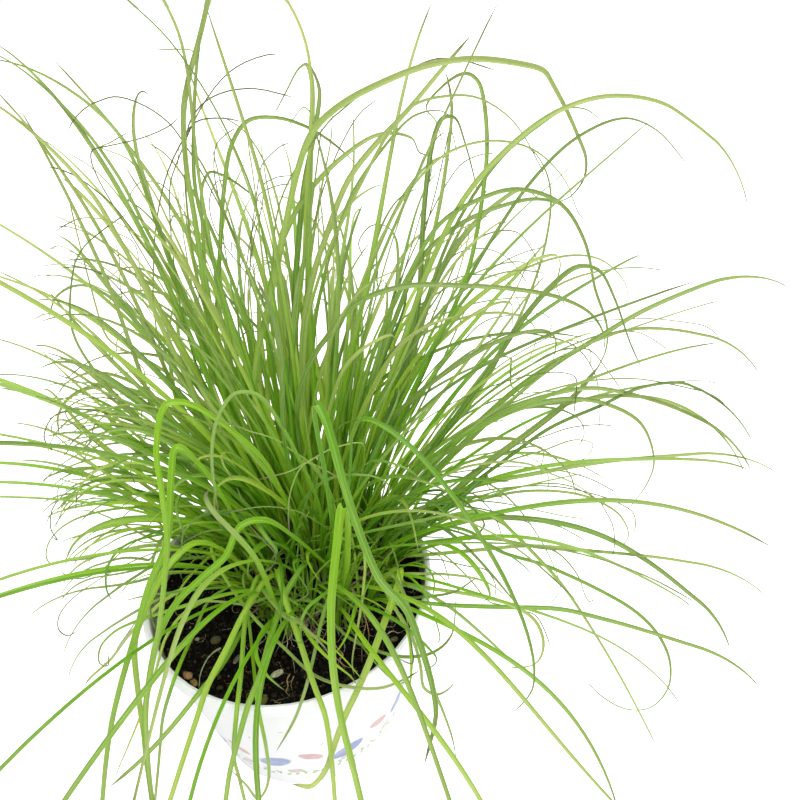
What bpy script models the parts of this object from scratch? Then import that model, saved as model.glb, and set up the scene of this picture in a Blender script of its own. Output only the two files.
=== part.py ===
"""Potted ornamental grass clump: long arching leaves growing from a tuft of shoots, in soil, in a round plastic pot.

Metres, +Z up. The origin is the middle of the pot's underside, on the surface that the pot stands on.
Run with: blender --background --python part.py
"""

import math
import random

import bmesh
import bpy
from mathutils import Vector

# The pot: a thin moulded tub with a rolled rim, standing on a foot ring and a middle pad.
POT_HEIGHT = 0.090
RIM_RADIUS = 0.060
BASE_RADIUS = 0.045
WALL = 0.0012
LIP_OUT = 0.0016
LIP_DROP = 0.0045
BASE_CORNER = 0.003
FOOT_WIDTH = 0.005
PAD_RADIUS = 0.016
CHANNEL_RISE = 0.0018
WEEP_HOLE_DIAMETER = 0.0038
WEEP_HOLES = 8
POT_SIDES = 56

# The soil fills the pot to a little below its rim, and rises slightly to the middle.
SOIL_DEPTH_BELOW_RIM = 0.0095
SOIL_RISE = 0.002
FIT_GAP = 0.0003

# The crown is the patch of soil that every shoot grows from. It sits back and to the right of the pot's middle.
CROWN_MIDDLE = Vector((0.010, 0.010))
CROWN_RADIUS = 0.036
GOLDEN_ANGLE = math.radians(137.508)

# A shoot is a sheathed foot that runs out into a long, keeled, tapering leaf.
SHOOTS = 54
LENGTH_MIDDLE = 0.220
LENGTH_EDGE = 0.202
SHEATH_WIDTH = 0.0042
LEAF_WIDTH = 0.0036
TIP_WIDTH = 0.0010
SHEATH_SHARE = 0.18
TAPER_STARTS = 0.45
KEEL_DEPTH = 0.90
UPRIGHT_FOOT = 0.003
FOOT_LEAN = 0.0002
LEAF_STEPS = 15

# How far the shoots lean from upright, at the middle and at the edge of the crown, and how much further they
# bow down by the tip.
LEAN_MIDDLE = math.radians(3)
LEAN_EDGE = math.radians(50)
BOW_MIDDLE = math.radians(20)
BOW_EDGE = math.radians(85)
LEAN_STARTS_WITHIN = 0.012
BOW_EVENNESS = 1.3

# The whole clump has a slight swirl: each leaf drifts this far round, the same way, on the way to its tip.
SWIRL = math.radians(14)

# The clump reaches furthest to the back, and its leaves are short and hang low at the front right.
LONGEST_HEADING = math.radians(75)
LENGTH_SWING = 0.13
LOWEST_HEADING = math.radians(-42)
LENGTH_LOST_THERE = 0.28
BOW_GAINED_THERE = math.radians(25)
LENGTH_JITTER = 0.06
HEADING_JITTER = math.radians(3)

# Each leaf turns a little about its own length on the way to its tip, to one side or the other.
LEAF_TWIST = math.radians(120)

LEAF_GREEN = (0.23, 0.44, 0.06, 1)
SOIL_BLACK = (0.018, 0.014, 0.011, 1)
POT_WHITE = (0.86, 0.86, 0.85, 1)


def clear_scene():
    for obj in list(bpy.data.objects):
        bpy.data.objects.remove(obj)


def material(name, colour, roughness):
    made = bpy.data.materials.new(name)
    made.use_nodes = True
    shader = made.node_tree.nodes["Principled BSDF"]
    shader.inputs["Base Color"].default_value = colour
    shader.inputs["Roughness"].default_value = roughness
    shader.inputs["Metallic"].default_value = 0
    return made


def collection(name):
    made = bpy.data.collections.new(name)
    bpy.context.scene.collection.children.link(made)
    return made


def turned(name, profile, finish, into):
    """A solid of revolution about Z. The profile's (radius, height) points end on the axis."""
    mesh = bpy.data.meshes.new(name)
    points = [(radius, 0, height) for radius, height in profile]
    edges = [(i, i + 1) for i in range(len(points) - 1)]
    mesh.from_pydata(points, edges, [])
    obj = bpy.data.objects.new(name, mesh)
    into.objects.link(obj)
    screw = obj.modifiers.new("turn", "SCREW")
    screw.steps = POT_SIDES
    screw.render_steps = POT_SIDES
    screw.use_merge_vertices = True
    screw.merge_threshold = 0.00001
    screw.use_smooth_shade = True
    mesh.materials.append(finish)
    return obj


def wall_radius(height):
    """The outer radius of the pot's sloping wall."""
    return BASE_RADIUS + (RIM_RADIUS - LIP_OUT - BASE_RADIUS) * height / POT_HEIGHT


def pot_profile():
    """Up the inside from the middle of the floor, over the rolled lip, down the outside and in along the underside."""
    floor = CHANNEL_RISE + WALL
    inner_top = wall_radius(POT_HEIGHT) - WALL
    lip_middle = (inner_top + RIM_RADIUS) / 2
    lip_half = (RIM_RADIUS - inner_top) / 2
    profile = [(0, floor), (wall_radius(floor) - WALL - BASE_CORNER, floor)]
    profile.append((wall_radius(floor) - WALL, floor + BASE_CORNER))
    for step in range(5):
        turn = math.pi * (1 - step / 4)
        profile.append((lip_middle + lip_half * math.cos(turn), POT_HEIGHT - lip_half * (1 - math.sin(turn))))
    profile.append((RIM_RADIUS, POT_HEIGHT - LIP_DROP))
    profile.append((wall_radius(POT_HEIGHT - LIP_DROP), POT_HEIGHT - LIP_DROP))
    profile.append((wall_radius(BASE_CORNER), BASE_CORNER))
    profile.append((BASE_RADIUS - BASE_CORNER / 2, 0))
    foot_inside = BASE_RADIUS - BASE_CORNER / 2 - FOOT_WIDTH
    profile.append((foot_inside, 0))
    profile.append((foot_inside - CHANNEL_RISE, CHANNEL_RISE))
    profile.append((PAD_RADIUS + CHANNEL_RISE, CHANNEL_RISE))
    profile.append((PAD_RADIUS, 0))
    profile.append((0, 0))
    return profile


def build_pot(into, cutters):
    pot = turned("pot", pot_profile(), material("pot_plastic", POT_WHITE, 0.35), into)
    ring = (PAD_RADIUS + BASE_RADIUS - FOOT_WIDTH) / 2
    mesh = bpy.data.meshes.new("weep_hole_cutters")
    cutter_mesh = bmesh.new()
    for index in range(WEEP_HOLES):
        turn = math.tau * (index + 0.5) / WEEP_HOLES
        made = bmesh.ops.create_cone(
            cutter_mesh,
            cap_ends=True,
            segments=12,
            radius1=WEEP_HOLE_DIAMETER / 2,
            radius2=WEEP_HOLE_DIAMETER / 2,
            depth=0.02,
        )
        place = Vector((ring * math.cos(turn), ring * math.sin(turn), 0))
        bmesh.ops.translate(cutter_mesh, verts=made["verts"], vec=place)
    cutter_mesh.to_mesh(mesh)
    cutter_mesh.free()
    cutter = bpy.data.objects.new("weep_hole_cutters", mesh)
    cutters.objects.link(cutter)
    cutter.hide_render = True
    cutter.display_type = "WIRE"
    cut = pot.modifiers.new("weep_holes", "BOOLEAN")
    cut.operation = "DIFFERENCE"
    cut.object = cutter
    return pot


def soil_height(x, y):
    """The soil's surface, a low dome that meets the wall a little below the rim."""
    edge = POT_HEIGHT - SOIL_DEPTH_BELOW_RIM
    share = math.hypot(x, y) / RIM_RADIUS
    return edge + SOIL_RISE * max(0.0, 1 - share * share)


def build_soil(into):
    floor = CHANNEL_RISE + WALL
    bottom = floor + FIT_GAP
    edge = POT_HEIGHT - SOIL_DEPTH_BELOW_RIM
    inside = WALL + FIT_GAP
    outer = wall_radius(edge) - inside
    profile = [(outer * share, soil_height(outer * share, 0)) for share in (0, 0.25, 0.5, 0.75, 1)]
    profile.append((wall_radius(floor) - inside, floor + BASE_CORNER + FIT_GAP))
    profile.append((wall_radius(floor) - inside - BASE_CORNER, bottom))
    profile.append((0, bottom))
    return turned("potting_soil", profile, material("moist_soil", SOIL_BLACK, 0.95), into)


def crown_place(index):
    """(share of the crown's radius, heading, root) of one shoot: a sunflower-head spiral from the middle outward."""
    share = math.sqrt((index + 0.5) / SHOOTS)
    heading = index * GOLDEN_ANGLE
    way = Vector((math.cos(heading), math.sin(heading)))
    return share, heading, CROWN_MIDDLE + way * CROWN_RADIUS * share


def lowness(heading, share):
    """How far a shoot shares in the low, short growth at the front right: 0 to 1."""
    return max(0.0, math.cos(heading - LOWEST_HEADING)) ** 2 * share


def arching_path(root, heading, share, length):
    """Points from the soil to the tip: upright at the very foot, then leaning out and bowing over."""
    lean = LEAN_MIDDLE + (LEAN_EDGE - LEAN_MIDDLE) * share**1.2
    bow = BOW_MIDDLE + (BOW_EDGE - BOW_MIDDLE) * share + BOW_GAINED_THERE * lowness(heading, share)
    place = Vector((root.x, root.y, soil_height(root.x, root.y) + FIT_GAP))
    path = [place.copy()]
    place = place + Vector((FOOT_LEAN * math.cos(heading), FOOT_LEAN * math.sin(heading), UPRIGHT_FOOT))
    path.append(place.copy())
    for step in range(LEAF_STEPS):
        along = (step + 0.5) / LEAF_STEPS
        settled = 1 - math.exp(-along * length / LEAN_STARTS_WITHIN)
        angle = lean * settled + bow * along**BOW_EVENNESS
        turn = heading + SWIRL * along
        way = Vector((math.cos(turn), math.sin(turn), 0))
        place = place + (way * math.sin(angle) + Vector((0, 0, math.cos(angle)))) * length / LEAF_STEPS
        path.append(place.copy())
    return path


def blend(low, high, share):
    return low + (high - low) * min(1.0, max(0.0, share))


def shoot_half_widths():
    """Widest round the sheath, even along the leaf, then a long taper to the tip."""
    half_widths = [SHEATH_WIDTH / 2]
    for step in range(LEAF_STEPS + 1):
        along = step / LEAF_STEPS
        width = blend(SHEATH_WIDTH, LEAF_WIDTH, along / SHEATH_SHARE)
        width = blend(width, TIP_WIDTH, ((along - TAPER_STARTS) / (1 - TAPER_STARTS)) if along > TAPER_STARTS else 0)
        half_widths.append(width / 2)
    return half_widths


def leaf_section(cutters):
    """The three-sided cross-section of a sedge shoot of half-width 1: flat above, with a keel below."""
    outline = [(-1, KEEL_DEPTH / 2), (1, KEEL_DEPTH / 2), (0, -KEEL_DEPTH / 2)]
    curve = bpy.data.curves.new("leaf_section", "CURVE")
    curve.dimensions = "2D"
    spline = curve.splines.new("POLY")
    spline.points.add(len(outline) - 1)
    spline.use_cyclic_u = True
    for point, (across, up) in zip(spline.points, outline, strict=True):
        point.co = (across, up, 0, 1)
    obj = bpy.data.objects.new("leaf_section", curve)
    cutters.objects.link(obj)
    obj.hide_render = True
    obj.display_type = "WIRE"
    return obj


def swept_shoot(name, path, twist, section, finish, into):
    """A closed solid along the path: the section carried along a capped curve, and turned by twist at the tip."""
    curve = bpy.data.curves.new(name, "CURVE")
    curve.dimensions = "3D"
    curve.twist_mode = "Z_UP"
    curve.use_fill_caps = True
    curve.bevel_mode = "OBJECT"
    curve.bevel_object = section
    spline = curve.splines.new("POLY")
    spline.points.add(len(path) - 1)
    for index, (place, half_width) in enumerate(zip(path, shoot_half_widths(), strict=True)):
        point = spline.points[index]
        point.co = (*place, 1)
        point.radius = half_width
        point.tilt = twist * index / (len(path) - 1)
    curve.materials.append(finish)
    obj = bpy.data.objects.new(name, curve)
    into.objects.link(obj)
    return obj


def build_clump(into, cutters):
    """Every shoot, from the middle of the crown outward, each leaning out more, so that none crosses another."""
    jitter = random.Random(12)
    finish = material("grass_leaf", LEAF_GREEN, 0.45)
    section = leaf_section(cutters)
    for index in range(SHOOTS):
        share, heading, root = crown_place(index)
        heading += jitter.uniform(-HEADING_JITTER, HEADING_JITTER)
        swing = 1 + LENGTH_SWING * math.cos(heading - LONGEST_HEADING) * share
        swing *= 1 + jitter.uniform(-LENGTH_JITTER, LENGTH_JITTER)
        swing *= 1 - LENGTH_LOST_THERE * lowness(heading, share)
        length = blend(LENGTH_MIDDLE, LENGTH_EDGE, share) * swing
        path = arching_path(root, heading, share, length)
        twist = LEAF_TWIST if index % 2 else -LEAF_TWIST
        swept_shoot(f"shoot_{index + 1:02d}", path, twist, section, finish, into)


clear_scene()
plant = collection("potted_grass_clump")
helpers = collection("cutters_and_guides")
build_pot(plant, helpers)
build_soil(plant)
build_clump(plant, helpers)
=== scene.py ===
import math
import random

import bpy
import numpy as np
from mathutils import Matrix, Vector, noise


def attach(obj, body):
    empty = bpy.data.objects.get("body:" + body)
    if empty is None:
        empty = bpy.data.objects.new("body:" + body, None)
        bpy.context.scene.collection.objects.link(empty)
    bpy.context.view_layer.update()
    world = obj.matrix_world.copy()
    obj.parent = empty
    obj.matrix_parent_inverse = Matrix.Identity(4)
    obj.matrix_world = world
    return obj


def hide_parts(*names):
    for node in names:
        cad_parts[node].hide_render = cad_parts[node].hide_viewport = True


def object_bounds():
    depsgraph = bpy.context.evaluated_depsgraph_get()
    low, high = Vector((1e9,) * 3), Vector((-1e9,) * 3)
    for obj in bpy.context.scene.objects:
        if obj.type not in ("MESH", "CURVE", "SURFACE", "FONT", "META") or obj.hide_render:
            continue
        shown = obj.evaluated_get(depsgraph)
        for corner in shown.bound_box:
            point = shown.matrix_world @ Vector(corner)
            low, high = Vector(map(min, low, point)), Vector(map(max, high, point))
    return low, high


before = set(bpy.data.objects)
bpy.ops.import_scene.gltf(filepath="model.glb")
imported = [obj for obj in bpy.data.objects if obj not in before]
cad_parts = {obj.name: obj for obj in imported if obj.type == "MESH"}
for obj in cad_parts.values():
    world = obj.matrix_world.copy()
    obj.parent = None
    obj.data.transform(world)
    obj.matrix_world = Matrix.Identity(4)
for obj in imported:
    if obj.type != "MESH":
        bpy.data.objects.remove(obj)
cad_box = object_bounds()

# Camera and measuring along its lines of sight.
# The clump was photographed from close by, from above and a little to the right, looking down into the pot.
# pixel_ray() gives the line of sight through a point of the picture, 800 pixels wide and high.
PICTURE_SIDE = 800
PICTURE_MIDDLE = PICTURE_SIDE / 2
FOCAL_PIXELS = 650
SENSOR_MM = 36
CLOSEST_SHOWN = 0.005
EYE = np.array((0.049, -0.181, 0.309))
PITCH = math.radians(35.8)
ROLL = math.radians(-1.8)

forward = np.array((0, math.cos(PITCH), -math.sin(PITCH)))
level_right = np.array((1.0, 0, 0))
level_up = np.array((0, math.sin(PITCH), math.cos(PITCH)))
right = math.cos(ROLL) * level_right + math.sin(ROLL) * level_up
up = -math.sin(ROLL) * level_right + math.cos(ROLL) * level_up


def new_object(name, data):
    """An object made of this data, placed in the scene."""
    made = bpy.data.objects.new(name, data)
    bpy.context.scene.collection.objects.link(made)
    return made


lens = bpy.data.cameras.new("close_view")
lens.sensor_width = SENSOR_MM
lens.lens = SENSOR_MM * FOCAL_PIXELS / PICTURE_SIDE
lens.clip_start = CLOSEST_SHOWN
camera = new_object("close_view", lens)
turned = np.array((right, up, -forward)).T
camera.matrix_world = Matrix([(*row, place) for row, place in zip(turned, EYE)] + [(0, 0, 0, 1)])
bpy.context.scene.camera = camera


def pixel_ray(across, down):
    sideways = right * (across - PICTURE_MIDDLE) / FOCAL_PIXELS
    return forward + sideways - up * (down - PICTURE_MIDDLE) / FOCAL_PIXELS


def seen_at(across, down, back):
    """The point in that line of sight that lies this far back, in world y."""
    ray = pixel_ray(across, down)
    return EYE + ray * (back - EYE[1]) / ray[1]


def seen_on(across, down, height):
    """The point in that line of sight at this height."""
    ray = pixel_ray(across, down)
    return EYE + ray * (height - EYE[2]) / ray[2]


def picture_place(point):
    """Where in the picture a point is seen, and how far it is in front of the eye."""
    away = point - EYE
    depth = away @ forward
    across = PICTURE_MIDDLE + FOCAL_PIXELS * (away @ right) / depth
    down = PICTURE_MIDDLE - FOCAL_PIXELS * (away @ up) / depth
    return across, down, depth


# The pot.
# A thin moulded tub of glossy white plastic with a rolled rim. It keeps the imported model's shape.
# The inside of its wall is dusty above the soil. A plain pattern of ovals and small dashes is printed on it.
class Nodes:
    """A short way to write a node tree: each call adds a node and returns its first output or those asked."""

    def __init__(self, tree):
        self.tree = tree

    def feed(self, node, inputs):
        """Gives inputs their values: the output of another node is linked, and anything else is set."""
        for key, value in inputs.items():
            if isinstance(value, bpy.types.NodeSocket):
                self.tree.links.new(value, node.inputs[key])
            else:
                node.inputs[key].default_value = value

    def add(self, kind, inputs=None, out=0, **settings):
        node = self.tree.nodes.new(kind)
        for key, value in settings.items():
            setattr(node, key, value)
        self.feed(node, inputs or {})
        return tuple(node.outputs[key] for key in out) if isinstance(out, tuple) else node.outputs[out]

    def math(self, operation, *values, clamp=False):
        return self.add("ShaderNodeMath", dict(enumerate(values)), operation=operation, use_clamp=clamp)

    def plus(self, first, second):
        return self.math("ADD", first, second)

    def minus(self, first, second):
        return self.math("SUBTRACT", first, second)

    def times(self, first, second):
        return self.math("MULTIPLY", first, second)

    def mix(self, share, low, high):
        return self.add("ShaderNodeMix", {0: share, 6: low, 7: high}, out=2, data_type="RGBA")

    def ramp(self, value, stops):
        node = self.tree.nodes.new("ShaderNodeValToRGB")
        for index, (place, colour) in enumerate(stops):
            stop = node.color_ramp.elements[index] if index < 2 else node.color_ramp.elements.new(place)
            stop.position = place
            stop.color = colour
        self.feed(node, {0: value})
        return node.outputs[0]

    def spread(self, value, low, high, to_low=0.0, to_high=1.0):
        """The value's stretch from low to high, laid out from to_low to to_high and held there outside it."""
        return self.add("ShaderNodeMapRange", dict(enumerate((value, low, high, to_low, to_high))))

    def place(self):
        """Where on the object a point of its surface is, in metres."""
        return self.add("ShaderNodeTexCoord", out="Object")

    def noise(self, place, scale, detail=3.0, roughness=0.5):
        inputs = {"Vector": place, "Scale": scale, "Detail": detail, "Roughness": roughness}
        return self.add("ShaderNodeTexNoise", inputs)

    def coated(self, colour, roughness, specular, bump):
        """The material's main shader. Its bump is given as a strength, a depth in metres and a height."""
        normal = self.add("ShaderNodeBump", dict(zip(("Strength", "Distance", "Height"), bump)))
        inputs = {"Base Color": colour, "Roughness": roughness, "Specular IOR Level": specular}
        return self.add("ShaderNodeBsdfPrincipled", {**inputs, "Normal": normal})

    def show(self, shader):
        """Makes this shader the material's surface."""
        self.feed(self.tree.nodes.new("ShaderNodeOutputMaterial"), {"Surface": shader})


def new_group(name, inputs, outputs):
    """A shader group of values and a Place: its writer, its inputs and its output node."""
    tree = bpy.data.node_groups.new(name, "ShaderNodeTree")
    for direction, keys in (("INPUT", inputs), ("OUTPUT", outputs)):
        for key in keys:
            kind = "NodeSocketVector" if key == "Place" else "NodeSocketFloat"
            tree.interface.new_socket(key, in_out=direction, socket_type=kind)
    return Nodes(tree), tree.nodes.new("NodeGroupInput").outputs, tree.nodes.new("NodeGroupOutput")


def new_material(name):
    """An empty material and the writer of its nodes."""
    made = bpy.data.materials.new(name)
    made.use_nodes = True
    made.node_tree.nodes.clear()
    return made, Nodes(made.node_tree)


def rgb(red, green, blue):
    """A colour as it looks on screen, 0 to 255, turned into the linear values that a shader takes."""
    screen = (channel / 255 for channel in (red, green, blue))
    return tuple(c / 12.92 if c <= 0.04045 else ((c + 0.055) / 1.055) ** 2.4 for c in screen) + (1.0,)


POT_HEIGHT = 0.090
RIM_RADIUS = 0.060
BASE_RADIUS = 0.045
PRINT_RADIUS = 0.052
DUST_FROM = POT_HEIGHT - 0.0012
DUST_FULL = POT_HEIGHT - 0.0030
EDGE_ON = 0.004
FACING = 0.012
POT_WHITE = rgb(226, 226, 228)
POT_WORN = rgb(226, 224, 218)
DUST_BROWN = rgb(160, 150, 138)
DUST_DARK = rgb(96, 82, 66)
PRINT_BLUE = rgb(84, 110, 172)
PRINT_ROSE = rgb(180, 122, 124)
PRINT_SAGE = rgb(128, 170, 68)
PRINT_INK = rgb(84, 66, 76)
OVAL_VALUES = ("Row", "Aside", "Half width", "Half height", "Tilt", "Scatter", "Seed")
PRINTED = (
    # how many round the pot, the OVAL_VALUES, ink, strength, outline's strength
    (10, (0.0300, -0.0082, 0.0080, 0.0046, 0.45, 0.004, 3.0), PRINT_BLUE, 0.85, 0.35),
    (10, (0.0345, 0.0082, 0.0062, 0.0029, -0.55, 0.005, 11.0), PRINT_ROSE, 0.80, 0.0),
    (14, (0.0212, 0.0, 0.0026, 0.0019, 0.7, 0.003, 5.0), PRINT_ROSE, 0.55, 0.8),
    (82, (0.0165, 0.0, 0.0015, 0.0008, 1.2, 0.0016, 7.0), PRINT_SAGE, 0.9, 0.0),
    (56, (0.0185, 0.0, 0.0020, 0.0009, -1.0, 0.0030, 17.0), PRINT_SAGE, 0.8, 0.0),
    (12, (0.0520, 0.0, 0.0011, 0.0003, 0.9, 0.0120, 23.0), PRINT_INK, 0.6, 0.0),
    (18, (0.0600, 0.0, 0.0009, 0.0003, -0.7, 0.0180, 31.0), PRINT_INK, 0.5, 0.0),
    (10, (0.0700, 0.0, 0.0012, 0.0003, 0.3, 0.0140, 43.0), PRINT_INK, 0.5, 0.0),
)

# Patches, as of dirt, dust or wear: a noise over the surface, its stretch from low to high made into a mask.
PATCH_VALUES = ("Scale", "Detail", "Roughness", "Low", "High", "At low", "At high")
write, given, result = new_group("patches", ("Place", *PATCH_VALUES), ("Mask",))
patch_group = write.tree
grain = write.noise(*(given[key] for key in ("Place", "Scale", "Detail", "Roughness")))
mask = write.spread(grain, *(given[key] for key in ("Low", "High", "At low", "At high")))
write.feed(result, {"Mask": mask})


def patches(write, place, scale, low, high, at_low=0.0, at_high=1.0, detail=3.0, roughness=0.5):
    """Places the group of patches in a material with its own values, and returns its mask."""
    values = dict(zip(PATCH_VALUES, (scale, detail, roughness, low, high, at_low, at_high)))
    return write.add("ShaderNodeGroup", {"Place": place, **values}, node_tree=patch_group)


# One ring of printed ovals, each in a cell of its own round the pot, turned and shifted by a random amount.
inputs = ("Around", "Height", "Cell", *OVAL_VALUES)
write, given, result = new_group("printed_oval", inputs, ("Fill", "Outline"))
oval_group = write.tree
cells = write.math("DIVIDE", given["Around"], given["Cell"])
cell_seed = write.plus(write.math("FLOOR", cells), given["Seed"])
cell_random = write.add("ShaderNodeTexWhiteNoise", {"W": cell_seed}, noise_dimensions="1D")
shift = write.times(write.minus(cell_random, 0.5), given["Scatter"])
beside = write.times(write.minus(write.math("FRACT", cells), 0.5), given["Cell"])
beside = write.minus(beside, given["Aside"])
above = write.minus(write.minus(given["Height"], given["Row"]), shift)
turn = write.times(given["Tilt"], write.plus(0.6, write.times(cell_random, 0.8)))
cosine = write.math("COSINE", turn)
sine = write.math("SINE", turn)
long_way = write.plus(write.times(beside, cosine), write.times(above, sine))
short_way = write.minus(write.times(above, cosine), write.times(beside, sine))
long_way = write.math("POWER", write.math("DIVIDE", long_way, given["Half width"]), 2.0)
short_way = write.math("POWER", write.math("DIVIDE", short_way, given["Half height"]), 2.0)
distance = write.math("SQRT", write.plus(long_way, short_way))
off_line = write.times(write.math("ABSOLUTE", write.minus(distance, 1.0)), 9.0)
outline = write.math("SUBTRACT", 1.0, off_line, clamp=True)
write.feed(result, {"Fill": write.spread(distance, 1.0, 0.92), "Outline": outline})

pot_finish, write = new_material("white_pot_plastic")
place = write.place()
x, y, z = write.add("ShaderNodeSeparateXYZ", {0: place}, out=(0, 1, 2))
around = write.times(write.math("ARCTAN2", y, x), PRINT_RADIUS)
normal = write.add("ShaderNodeNewGeometry", out="Normal")
radial = write.add("ShaderNodeCombineXYZ", {0: x, 1: y, 2: 0.0})
facing_out = write.add("ShaderNodeVectorMath", {0: normal, 1: radial}, out=1, operation="DOT_PRODUCT")
outer = write.spread(facing_out, EDGE_ON, FACING)
inner = write.times(write.spread(facing_out, -EDGE_ON, -FACING), write.spread(z, DUST_FROM, DUST_FULL))
colour = write.mix(patches(write, place, 90.0, 0.35, 0.75, 0.0, 0.06, 4.0), POT_WHITE, POT_WORN)
inked = write.times(outer, patches(write, place, 260.0, 0.2, 0.5, 0.55))
for count, values, ink, strength, line in PRINTED:
    cell = math.tau * PRINT_RADIUS / count
    inputs = {"Around": around, "Height": z, "Cell": cell, **dict(zip(OVAL_VALUES, values))}
    fill, outline = write.add("ShaderNodeGroup", inputs, out=("Fill", "Outline"), node_tree=oval_group)
    colour = write.mix(write.times(write.times(fill, strength), inked), colour, ink)
    if line:
        colour = write.mix(write.times(write.times(outline, line), inked), colour, PRINT_INK)
dust = write.times(inner, patches(write, place, 420.0, 0.3, 0.62, 0.55, 1.0, 5.0))
specks = write.times(inner, patches(write, place, 900.0, 0.55, 0.7, 0.0, 1.0, 2.0))
colour = write.mix(specks, write.mix(dust, colour, DUST_BROWN), DUST_DARK)
roughness = patches(write, place, 90.0, 0.3, 0.7, 0.30, 0.42, 4.0)
write.show(write.coated(colour, roughness, 0.5, (0.15, 0.0002, write.noise(place, 700.0, 2.0))))
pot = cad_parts["pot"]
pot.data.materials.clear()
pot.data.materials.append(pot_finish)

# The potting soil.
# Moist black peat, pressed in by hand, filled to a little below the rim. Its top is a fine mesh of crumbs and
# hollows, and its sides and bottom keep the shape of the root ball inside the pot.
WALL = 0.0012
LIP_OUT = 0.0016
FIT_GAP = 0.0003
POT_FLOOR = 0.003
CORNER_HEIGHT = 0.0065
CORNER_IN = 0.003
SOIL_EDGE_HEIGHT = 0.0805
SOIL_RISE = 0.002
SOIL_RINGS = 84
SOIL_SPOKES = 260
CRUMB_HEIGHT = 0.0020
PEAT_BLACK = rgb(4, 3, 2)
PEAT_DARK = rgb(13, 11, 7)
PEAT_BROWN = rgb(38, 32, 20)
PEAT_LIGHT = rgb(100, 88, 62)
PEAT_WET = rgb(8, 7, 4)
FLECK_TAN = rgb(128, 108, 78)


def new_piece(name, vertices, faces, finish, replaced=()):
    """A smooth mesh as a piece of the model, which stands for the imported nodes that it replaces."""
    mesh = bpy.data.meshes.new(name)
    mesh.from_pydata(np.asarray(vertices).tolist(), [], [list(map(int, face)) for face in faces])
    mesh.polygons.foreach_set("use_smooth", [True] * len(mesh.polygons))
    mesh.materials.append(finish)
    mesh.update()
    piece = new_object(name, mesh)
    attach(piece, "root")
    if replaced:
        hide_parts(*replaced)
    return piece


def wall_radius(height):
    return BASE_RADIUS + (RIM_RADIUS - LIP_OUT - BASE_RADIUS) * height / POT_HEIGHT


def filled_radius(height):
    """How far the soil reaches inside the wall at this height."""
    return wall_radius(height) - WALL - FIT_GAP


def soil_level(x, y):
    """The soil's smooth level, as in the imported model."""
    return SOIL_EDGE_HEIGHT + SOIL_RISE * max(0.0, 1 - (x * x + y * y) / RIM_RADIUS**2)


def soil_top(x, y):
    """The soil's surface with its crumbs and hollows."""
    wide = noise.noise(Vector((x * 60, y * 60, 0.3)))
    lumps = abs(noise.noise(Vector((x * 260, y * 260, 2.1))))
    crumbs = noise.noise(Vector((x * 900, y * 900, 5.7)))
    return soil_level(x, y) + CRUMB_HEIGHT * (0.5 * wide + 0.9 * lumps - 0.35 + 0.35 * crumbs)


def circle(radius):
    """The places round the pot's axis where a ring of the soil's mesh has its points."""
    turns = [math.tau * spoke / SOIL_SPOKES for spoke in range(SOIL_SPOKES)]
    return [(radius * math.cos(turn), radius * math.sin(turn)) for turn in turns]


soil_radius = filled_radius(SOIL_EDGE_HEIGHT)
soil_bottom = POT_FLOOR + FIT_GAP
vertices = [(0, 0, soil_top(0, 0))]
for ring in range(1, SOIL_RINGS + 1):
    vertices += [(x, y, soil_top(x, y)) for x, y in circle(soil_radius * ring / SOIL_RINGS)]
vertices += [(x, y, CORNER_HEIGHT) for x, y in circle(filled_radius(CORNER_HEIGHT))]
vertices += [(x, y, soil_bottom) for x, y in circle(filled_radius(POT_FLOOR) - CORNER_IN)]
vertices.append((0, 0, soil_bottom))
pairs = [(spoke, (spoke + 1) % SOIL_SPOKES) for spoke in range(SOIL_SPOKES)]
faces = [(0, 1 + spoke, 1 + following) for spoke, following in pairs]
for ring in range(SOIL_RINGS + 1):
    start = 1 + ring * SOIL_SPOKES
    next_start = start + SOIL_SPOKES
    for spoke, following in pairs:
        faces.append((start + spoke, next_start + spoke, next_start + following, start + following))
faces += [(next_start + spoke, len(vertices) - 1, next_start + following) for spoke, following in pairs]

soil_finish, write = new_material("moist_peat")
place = write.place()
grains = write.noise(place, 1100.0, 4.0, 0.65)
colour = write.ramp(grains, [(0.30, PEAT_BLACK), (0.52, PEAT_DARK), (0.66, PEAT_BROWN), (0.80, PEAT_LIGHT)])
colour = write.mix(patches(write, place, 140.0, 0.35, 0.7, 0.0, 0.5), colour, PEAT_WET)
flecks, own = write.add("ShaderNodeTexVoronoi", {"Vector": place, "Scale": 620.0}, out=("Distance", "Color"))
chosen = write.math("GREATER_THAN", write.add("ShaderNodeSeparateColor", {0: own}), 0.93)
colour = write.mix(write.times(write.spread(flecks, 0.26, 0.16), chosen), colour, FLECK_TAN)
write.show(write.coated(colour, 0.75, 0.06, (1.0, 0.0012, grains)))
new_piece("soil_surface", vertices, faces, soil_finish, ["potting_soil"])

# Crumbs, bark chips and grit on the soil.
# Peat crumbs lie all over it, with a few chips of bark and some pale grit. Each is a small lump of its own
# shape, half sunk into the soil. The largest chips and pebbles lie where they are in the picture.
CRUMBS = 7000
CRUMB_SIZE = 0.0007
LARGEST_CRUMB = 0.0026
GRIT = 70
GRIT_SIZES = (0.0005, 0.0015)
STONE_LEVEL = SOIL_EDGE_HEIGHT + 0.001
EDGE_MARGIN = 0.0012
NEIGHBOURS_WITHIN = 1.1
PEAT_SHADES = ((7, 6, 3), (14, 12, 8), (34, 29, 18), (10, 8, 5), (66, 57, 38), (20, 17, 11))
GRIT_SHADES = ((96, 80, 58), (124, 112, 88), (78, 60, 42), (150, 140, 118), (66, 52, 36))
LUMP_DIRT = rgb(16, 13, 10)
chance = random.Random(4)


def unit(vector):
    """A vector of length one with this vector's direction."""
    return vector / np.linalg.norm(vector)


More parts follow.
